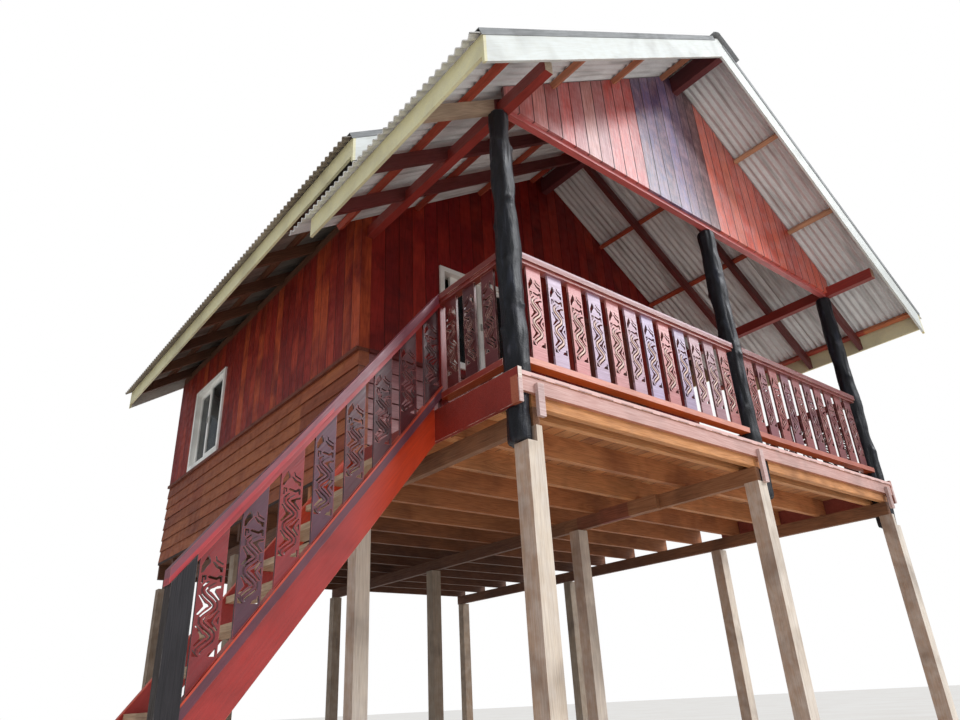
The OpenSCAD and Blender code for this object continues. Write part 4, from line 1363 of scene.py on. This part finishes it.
@dataclass
class Room(Assembly):
    """The closed room: boarded walls, white sliding windows and the plank door."""

    door: Span = (0.307, 1.157)
    leaf_y: float = 1.755
    hinge_levels: tuple[float, ...] = (0.2, 0.95, 1.7)
    hinge_leaves: Span = (0.0015, 0.0115)
    lever_level: float = 1.03
    side_x: Span = (-2.2625, 2.1825)
    pull_size: Point = (0.018, 0.07, 0.012)

    def dress_all(self) -> None:
        """Dresses the walls, the windows, the glass and the door."""
        red = ((152, 44, 32), (128, 32, 26), (174, 60, 36), (138, 36, 30), (190, 82, 42), (118, 28, 24),
               (160, 48, 34), (142, 36, 30))
        brown = ((158, 86, 50), (136, 68, 40), (170, 98, 56), (146, 66, 42))
        deep = ((150, 26, 28), (132, 24, 24), (166, 42, 30), (114, 22, 22), (180, 54, 36), (142, 26, 24))
        lilac = ((164, 110, 112), (150, 96, 98), (176, 124, 124))
        ledge = (120, 62, 42)
        self.dress("left_wall", WallBoards("left_boards", ROOM, Axis.Y, brown, red, 31.0, ledge))
        self.dress("right_wall", WallBoards("right_boards", ROOM, Axis.Y, brown, red, 32.0, ledge))
        self.dress("back_wall", WallBoards("back_boards", -2.17, Axis.X, brown, red, 33.0, ledge))
        self.dress("front_wall", WallBoards(
            "porch_boards", -2.1697, Axis.X, lilac, deep, 34.0, (110, 44, 40)))
        self.dress("entrance_door", Varnished(
            "door_varnish", ((116, 46, 34), (134, 58, 42), (104, 40, 32)), Grain.UPRIGHT, 35.0,
            (Row(Axis.X, 0.141, 0.01),), streak=0.5, relief=0.25, shade=(100, 56, 48)))
        self.dress("left_window right_window porch_window", Covered(
            "window_white", ((248, 247, 242), (240, 238, 232)), Grain.UPRIGHT, 36.0, stain=0.4,
            rough=(0.35, 0.55), relief=0.08, shade=(204, 196, 184)))
        self.dress("window_glass", PaneGlass())

    def door_fittings(self) -> None:
        """Hangs three hinges on the door and gives it a lever on a plate."""
        face = self.leaf_y - 0.0005
        parts = []
        for level in self.hinge_levels:
            for leaf in self.hinge_leaves:
                x, z = self.door[0] + leaf, DECK + level
                parts.append(Bench.plank((x, face - 0.006, z), (x + 0.008, face, z + 0.09), 0.001))
        x, z = self.door[1] - 0.075, DECK + self.lever_level
        parts.append(Bench.plank((x - 0.02, face - 0.005, z - 0.11), (x + 0.02, face, z + 0.06), 0.0015))
        Bench.take()
        bpy.ops.mesh.primitive_cylinder_add(vertices=20, radius=0.009, depth=0.045,
                                            location=(x, self.leaf_y - 0.028, z),
                                            rotation=(math.pi / 2, 0, 0))
        parts.append(Bench.settle("spindle"))
        Bench.finish(parts[-1], "BEVEL", width=0.002, segments=2, limit_method="ANGLE")
        lever = (x - 0.11, self.leaf_y - 0.058, z - 0.009)
        parts.append(Bench.plank(lever, (x + 0.01, self.leaf_y - 0.046, z + 0.009), 0.005))
        steel = Metal("door_steel", (158, 156, 150), 0.15, 0.85)
        self.keep(Bench.join(parts, "door_fittings"), steel.material(), "door_wood")

    def window_pulls(self) -> None:
        """Sets a small pull on the meeting stile of every window's outer sash."""
        places = (
            facing((self.side_x[0], 5.13, 3.58), (-1, 0, 0)),
            facing((self.side_x[1], 5.13, 3.58), (1, 0, 0)),
            facing((-1.01, ROOM + 0.0077, 3.62), (0, -1, 0)),
        )
        width, length, depth = self.pull_size
        master = Bench.plank((-width / 2, -length / 2, 0), (width / 2, length / 2, depth), 0.004, 3)
        piece = Bench.copies(master, "window_pulls", places)
        self.keep(piece, Metal("pull_metal", (176, 176, 170), 0.1, 0.6).material(), "window_paint")


@dataclass
class PorchRoof(Assembly):
    """The porch roof: plates, tie, rafters, purlins, boarded gable, sheets and edge boards."""

    gable_start: float = -2.216

    def gable_tones(self) -> tuple[Tone, ...]:
        """Lists the gable boards' colours.

        Returns:
            One tone for each board, from left to right.
        """
        mottled = ((220, 132, 126), (206, 112, 106), (222, 146, 138), (190, 104, 100), (214, 96, 88),
                   (194, 110, 108), (210, 148, 138), (188, 112, 110))
        bright = ((214, 88, 76), (222, 98, 86), (208, 80, 70))
        purple = ((104, 88, 128), (120, 106, 152), (94, 80, 122), (128, 116, 164), (108, 88, 126),
                  (96, 64, 86), (96, 50, 58))
        fiery = ((242, 122, 96), (238, 112, 86), (246, 138, 110), (232, 104, 80), (242, 124, 98),
                 (236, 112, 88), (214, 82, 54), (230, 102, 68), (212, 80, 52), (204, 72, 48), (220, 88, 56),
                 (228, 90, 48), (234, 92, 46))
        return mottled + bright + purple + fiery

    def dress_all(self) -> None:
        """Dresses every node of the porch roof."""
        self.dress("porch_plates", Varnished(
            "plate_paint", ((150, 50, 44), (166, 62, 52), (134, 42, 38)), Grain.ALONG_Y, 41.0,
            streak=0.35, stain=0.35, rough=(0.35, 0.55), coat=0.25, shade=(110, 60, 56),
            marks=(Mark((226, 210, 184), y=(-0.6, -0.4385), x=(-3, 0), facing=Axis.Y),
                   Mark((214, 170, 140), y=(-0.6, -0.4885), x=(0, 3), facing=Axis.Y))))
        self.dress("tie_beam", Varnished(
            "tie_paint", ((198, 88, 84), (210, 108, 104)), Grain.ALONG_X, 42.0, streak=0.4, stain=0.35,
            # Its pale edges are partly worn paint and partly painted sheen
            coat=0.4, relief=0.25, shade=(120, 60, 56), wear_and_sheen=(224, 168, 164)))
        self.dress("ridge_beams", Stained(
            "ridge_paint", ((126, 62, 66), (112, 50, 52)), Grain.ALONG_Y, 43.0, rough=(0.4, 0.6),
            shade=(100, 56, 56)))
        self.dress("porch_rafters", Stained(
            "rafter_stain", ((122, 52, 48), (104, 42, 40), (136, 62, 54)), Grain.DOWN_SLOPE, 44.0,
            (Row(Axis.Y, 0.56, -0.2),), turn=PITCH, mirrored=True, shade=(100, 56, 54),
            marks=(Mark((196, 172, 146), x=(-3.0, -2.24), y=(0.0, 0.12), amount=0.9),)))
        overhang = (-0.7, -0.045)
        self.dress("porch_purlins", Stained(
            "purlin_stain", ((186, 78, 50), (168, 62, 42), (204, 98, 64)), Grain.ALONG_Y, 45.0,
            (Row(Axis.X, 0.4, -3.0),), shade=(130, 76, 60),
            marks=(Mark((206, 158, 122), x=(0.0, 2.3), y=overhang),
                   Mark((204, 118, 70), x=(2.3, 3.0), y=overhang),
                   Mark((200, 140, 104), x=(-1.9, 0.0), y=overhang, amount=0.85))))
        row, tones = Row(Axis.X, BOARD, self.gable_start), self.gable_tones()
        self.dress("porch_gable", Varnished(
            "gable_varnish", ((178, 92, 80),) * 2, Grain.UPRIGHT, 46.0, (row,), (row,),
            joint_half=0.0045, streak=0.7, rough=(0.34, 0.52), relief=0.3, shade=(164, 66, 50),
            # The pale streaks are partly faded varnish and partly painted sheen
            fade_and_sheen_tone=(240, 204, 206), fade=0.42, marks=(Mark(tones[0], row=row, tones=tones),)))
        self.dress("porch_roof_sheets", RoofSheet(
            "porch_sheet", ((150, 146, 138), (134, 130, 122), (164, 160, 152)),
            ((228, 227, 226), (218, 217, 216), (236, 236, 235)), PORCH_SHEETS[0]))
        self.dress("porch_edge_boards", EdgePaint("porch_edge_paint", seed=47.0))


@dataclass
class RoomRoof(Assembly):
    """The higher roof over the room."""

    def dress_all(self) -> None:
        """Dresses every node of the room's roof."""
        self.dress("room_plates", RawBoards(
            "room_plate", ((120, 80, 58), (134, 92, 66)), Grain.ALONG_Y, 51.0, stain=0.4, relief=0.3))
        self.dress("room_rafters", RawBoards(
            "room_rafter", ((112, 74, 54), (128, 88, 64), (98, 64, 48)), Grain.DOWN_SLOPE, 52.0,
            (Row(Axis.Y, 0.66, 1.6),), turn=PITCH, mirrored=True, stain=0.4, relief=0.3))
        self.dress("room_purlins", RawBoards(
            "room_purlin", ((132, 82, 56), (148, 98, 68), (116, 70, 50)), Grain.ALONG_Y, 53.0,
            (Row(Axis.X, 0.4, -3.0),), stain=0.4, relief=0.3))
        self.dress("room_roof_sheets", RoofSheet(
            "room_sheet", ((146, 142, 134), (130, 126, 118), (160, 156, 148)),
            ((164, 152, 142), (148, 136, 126), (176, 166, 156)), ROOM_SHEETS[0]))
        self.dress("room_edge_boards", EdgePaint("room_edge_paint", seed=54.0))


@dataclass
class Caps(Assembly):
    """Ridge and slope caps, the folded sheet on the ridge's front end, and the roof screws.

    A screw's head is given by half its width and its height.
    """

    head: Span = (0.0065, 0.006)
    washer: float = 0.013
    left_purlins: tuple[float, ...] = (0.35, 1.115, 1.88, 2.645)
    right_purlins: tuple[float, ...] = (0.04, 1.205, 1.97)
    wave_top: float = 0.0262
    saddle_reach: Span = (0.1, 0.26)
    saddle_depth: float = 0.14
    saddle_front: float = -0.595
    saddle_top: float = 5.8765
    curl_start: float = -0.53
    curl_length: float = 0.075

    def dress_all(self) -> None:
        """Dresses the caps."""
        self.dress("roof_caps", Covered(
            "cap_grey", ((138, 140, 140), (122, 124, 124), (150, 152, 150)), Grain.DOWN_SLOPE, 61.0,
            turn=PITCH, mirrored=True, streak=0.15, stain=0.5, rough=(0.45, 0.7), shade=(120, 112, 100)))

    def saddle(self) -> None:
        """Folds a dark sheet over the front end of the ridge cap, longer down the right slope."""
        Bench.take()
        bpy.ops.mesh.primitive_plane_add(size=1, location=(0, 0, 0))
        piece = bpy.context.view_layer.objects.active
        left, right = self.saddle_reach
        piece.scale = (left + right, self.saddle_depth, 1)
        piece.location = ((right - left) / 2, self.saddle_front + self.saddle_depth / 2, 0)
        piece = Bench.settle("ridge_saddle")
        Bench.edit(bpy.ops.mesh.subdivide, number_cuts=23)
        for vertex in piece.data.vertices:
            across = vertex.co.x
            drop = SLOPE * (math.hypot(across, 0.006) - 0.006)
            ahead = max(self.curl_start - vertex.co.y, 0.0) / self.curl_length
            wrinkle = noise.noise(Vector((across * 11, vertex.co.y * 9, 3.0)))
            curl = ahead * (0.022 + 0.02 * wrinkle) * min(abs(across - 0.02) * 9, 1.0)
            vertex.co.z = self.saddle_top - drop + 0.003 * wrinkle + curl
        Bench.finish(piece, "SOLIDIFY", thickness=0.003, offset=1.0)
        bpy.ops.object.shade_smooth_by_angle(angle=math.radians(40))
        self.keep(piece, Metal("saddle_tin", (148, 150, 152), 0.15, 0.2).material(), "cap_sheet")

    def line(self, side: int, drop: float, lift: float, ends: Span) -> list[Matrix]:
        """Places the screws over one purlin, on every third wave.

        Args:
            side: -1 on the left slope and 1 on the right.
            drop: distance of the purlin from the eaves, along X.
            lift: how far this roof is over the porch roof.
            ends: front and back ends of the sheets.

        Returns:
            The places, on the tops of the waves.
        """
        run = EAVES - drop
        normal = Vector((math.sin(PITCH) * side, 0.0, math.cos(PITCH)))
        places = []
        for index in range(int((ends[1] - ends[0] - WAVE) / (3 * WAVE)) + 1):
            crest = ends[0] + WAVE / 2 + index * 3 * WAVE
            foot = Vector((run * side, crest, RIDGE + lift - SLOPE * run)) + normal * self.wave_top
            places.append(facing(foot, normal, 15 * index))
        return places

    def screws(self) -> None:
        """Sets the screws on both roofs."""
        porch = ((-1, self.left_purlins), (1, self.right_purlins))
        room = ((-1, self.left_purlins), (1, self.left_purlins))
        steel = Metal("screw_steel", (150, 150, 148), 0.5, 0.7).material()
        for name, slopes, lift, ends in (("porch_roof_screws", porch, 0.0, PORCH_SHEETS),
                                         ("room_roof_screws", room, LIFT, ROOM_SHEETS)):
            places = [place for side, drops in slopes for drop in drops
                      for place in self.line(side, drop, lift, ends)]
            master = Bench.stud(*self.head, self.washer)
            self.keep(Bench.copies(master, name, places), steel, "roof_sheet")


@dataclass
class Studio:
    """Pale floor, soft lamps, white surroundings and the camera at the photograph's angle."""

    azimuth: float = 39.99
    elevation: float = 25.54
    roll: float = -3.0
    eye: Point = (-4.704, -2.619, 0.567)
    lens: float = 26.76
    sky: float = 0.74
    sky_in_gloss: float = 0.26
    sky_tone: tuple[float, ...] = (0.88, 0.93, 1.0, 1.0)
    lamp_tone: Point = (0.95, 0.97, 1.0)

    def floor(self) -> None:
        """Lays the floor."""
        Bench.take()
        bpy.ops.mesh.primitive_circle_add(vertices=64, radius=60, fill_type="NGON", location=(0, 3, -0.0005))
        piece = Bench.settle("studio_floor")
        tree = ShaderTree("pale_floor")
        mottle = tree.noise(tree.place, 0.8, 3.0).scaled(0.3, 0.7)
        colour = tree.mix(mottle, (234, 229, 221), (228, 221, 212))
        piece.data.materials.append(tree.finish({"Base Color": colour, "Roughness": 0.9}))

    def world(self) -> None:
        """Makes the surroundings: white to the camera, a soft sky for the light."""
        world = bpy.data.worlds.new("studio")
        world.use_nodes = True
        tree = NodeTree(world.node_tree)
        glossy, camera, through = (tree.add("LightPath", (), f"Is {kind} Ray")
                                   for kind in ("Glossy", "Camera", "Transmission"))
        power = tree.add("MapRange", {0: glossy, 3: self.sky, 4: self.sky_in_gloss})
        sky = tree.add("Background", (self.sky_tone, power))
        white = tree.add("Background", ((1.0, 1.0, 1.0, 1.0), 1.0))
        seen = tree.math("MAXIMUM", camera, through)
        tree.end("OutputWorld", tree.add("MixShader", (seen, sky, white)))
        bpy.context.scene.world = world

    def lamps(self) -> None:
        """Hangs the key lamp high at the front right and a weaker one for the sheen of the varnish."""
        for name, energy, angle, direction in (
            ("key", 1.5, 14.0, (0.42, -0.78, 0.62)),
            ("sheen", 0.7, 22.0, (0.71, -0.42, 0.57)),
        ):
            lamp = bpy.data.lights.new(name, "SUN")
            lamp.energy = energy
            lamp.angle = math.radians(angle)
            lamp.color = self.lamp_tone
            holder = bpy.data.objects.new(name, lamp)
            bpy.context.scene.collection.objects.link(holder)
            holder.rotation_euler = Vector(direction).to_track_quat("Z", "Y").to_euler()

    def camera(self) -> None:
        """Sets the camera where the photograph was taken."""
        azimuth, elevation, roll = (math.radians(a) for a in (self.azimuth, self.elevation, self.roll))
        ahead = Vector((math.sin(azimuth) * math.cos(elevation), math.cos(azimuth) * math.cos(elevation),
                        math.sin(elevation)))
        level = Vector((math.cos(azimuth), -math.sin(azimuth), 0))
        raised = level.cross(ahead)
        right = math.cos(roll) * level + math.sin(roll) * raised
        up = -math.sin(roll) * level + math.cos(roll) * raised
        lens = bpy.data.cameras.new("photograph")
        lens.lens = self.lens
        lens.sensor_width = 36
        eye = bpy.data.objects.new("photograph", lens)
        bpy.context.scene.collection.objects.link(eye)
        eye.matrix_world = Matrix((
            (right.x, up.x, -ahead.x, self.eye[0]),
            (right.y, up.y, -ahead.y, self.eye[1]),
            (right.z, up.z, -ahead.z, self.eye[2]),
            (0, 0, 0, 1),
        ))
        bpy.context.scene.camera = eye
        bpy.context.scene.view_settings.view_transform = "Standard"


def main() -> None:
    """Builds the studio and every sub-assembly in order."""
    logging.basicConfig(level=logging.INFO, format="%(name)s: %(message)s")
    noise.seed_set(7)
    studio = Studio()
    studio.camera()
    studio.world()
    studio.lamps()
    studio.floor()
    stilts = Stilts()
    stilts.dress_all()
    stilts.bolts()
    Floor().dress_all()
    LogPosts().build()
    Balustrades().dress_all()
    Stair().dress_all()
    room = Room()
    room.dress_all()
    room.door_fittings()
    room.window_pulls()
    PorchRoof().dress_all()
    RoomRoof().dress_all()
    caps = Caps()
    caps.dress_all()
    caps.screws()
    caps.saddle()


if __name__ == "__main__":
    main()
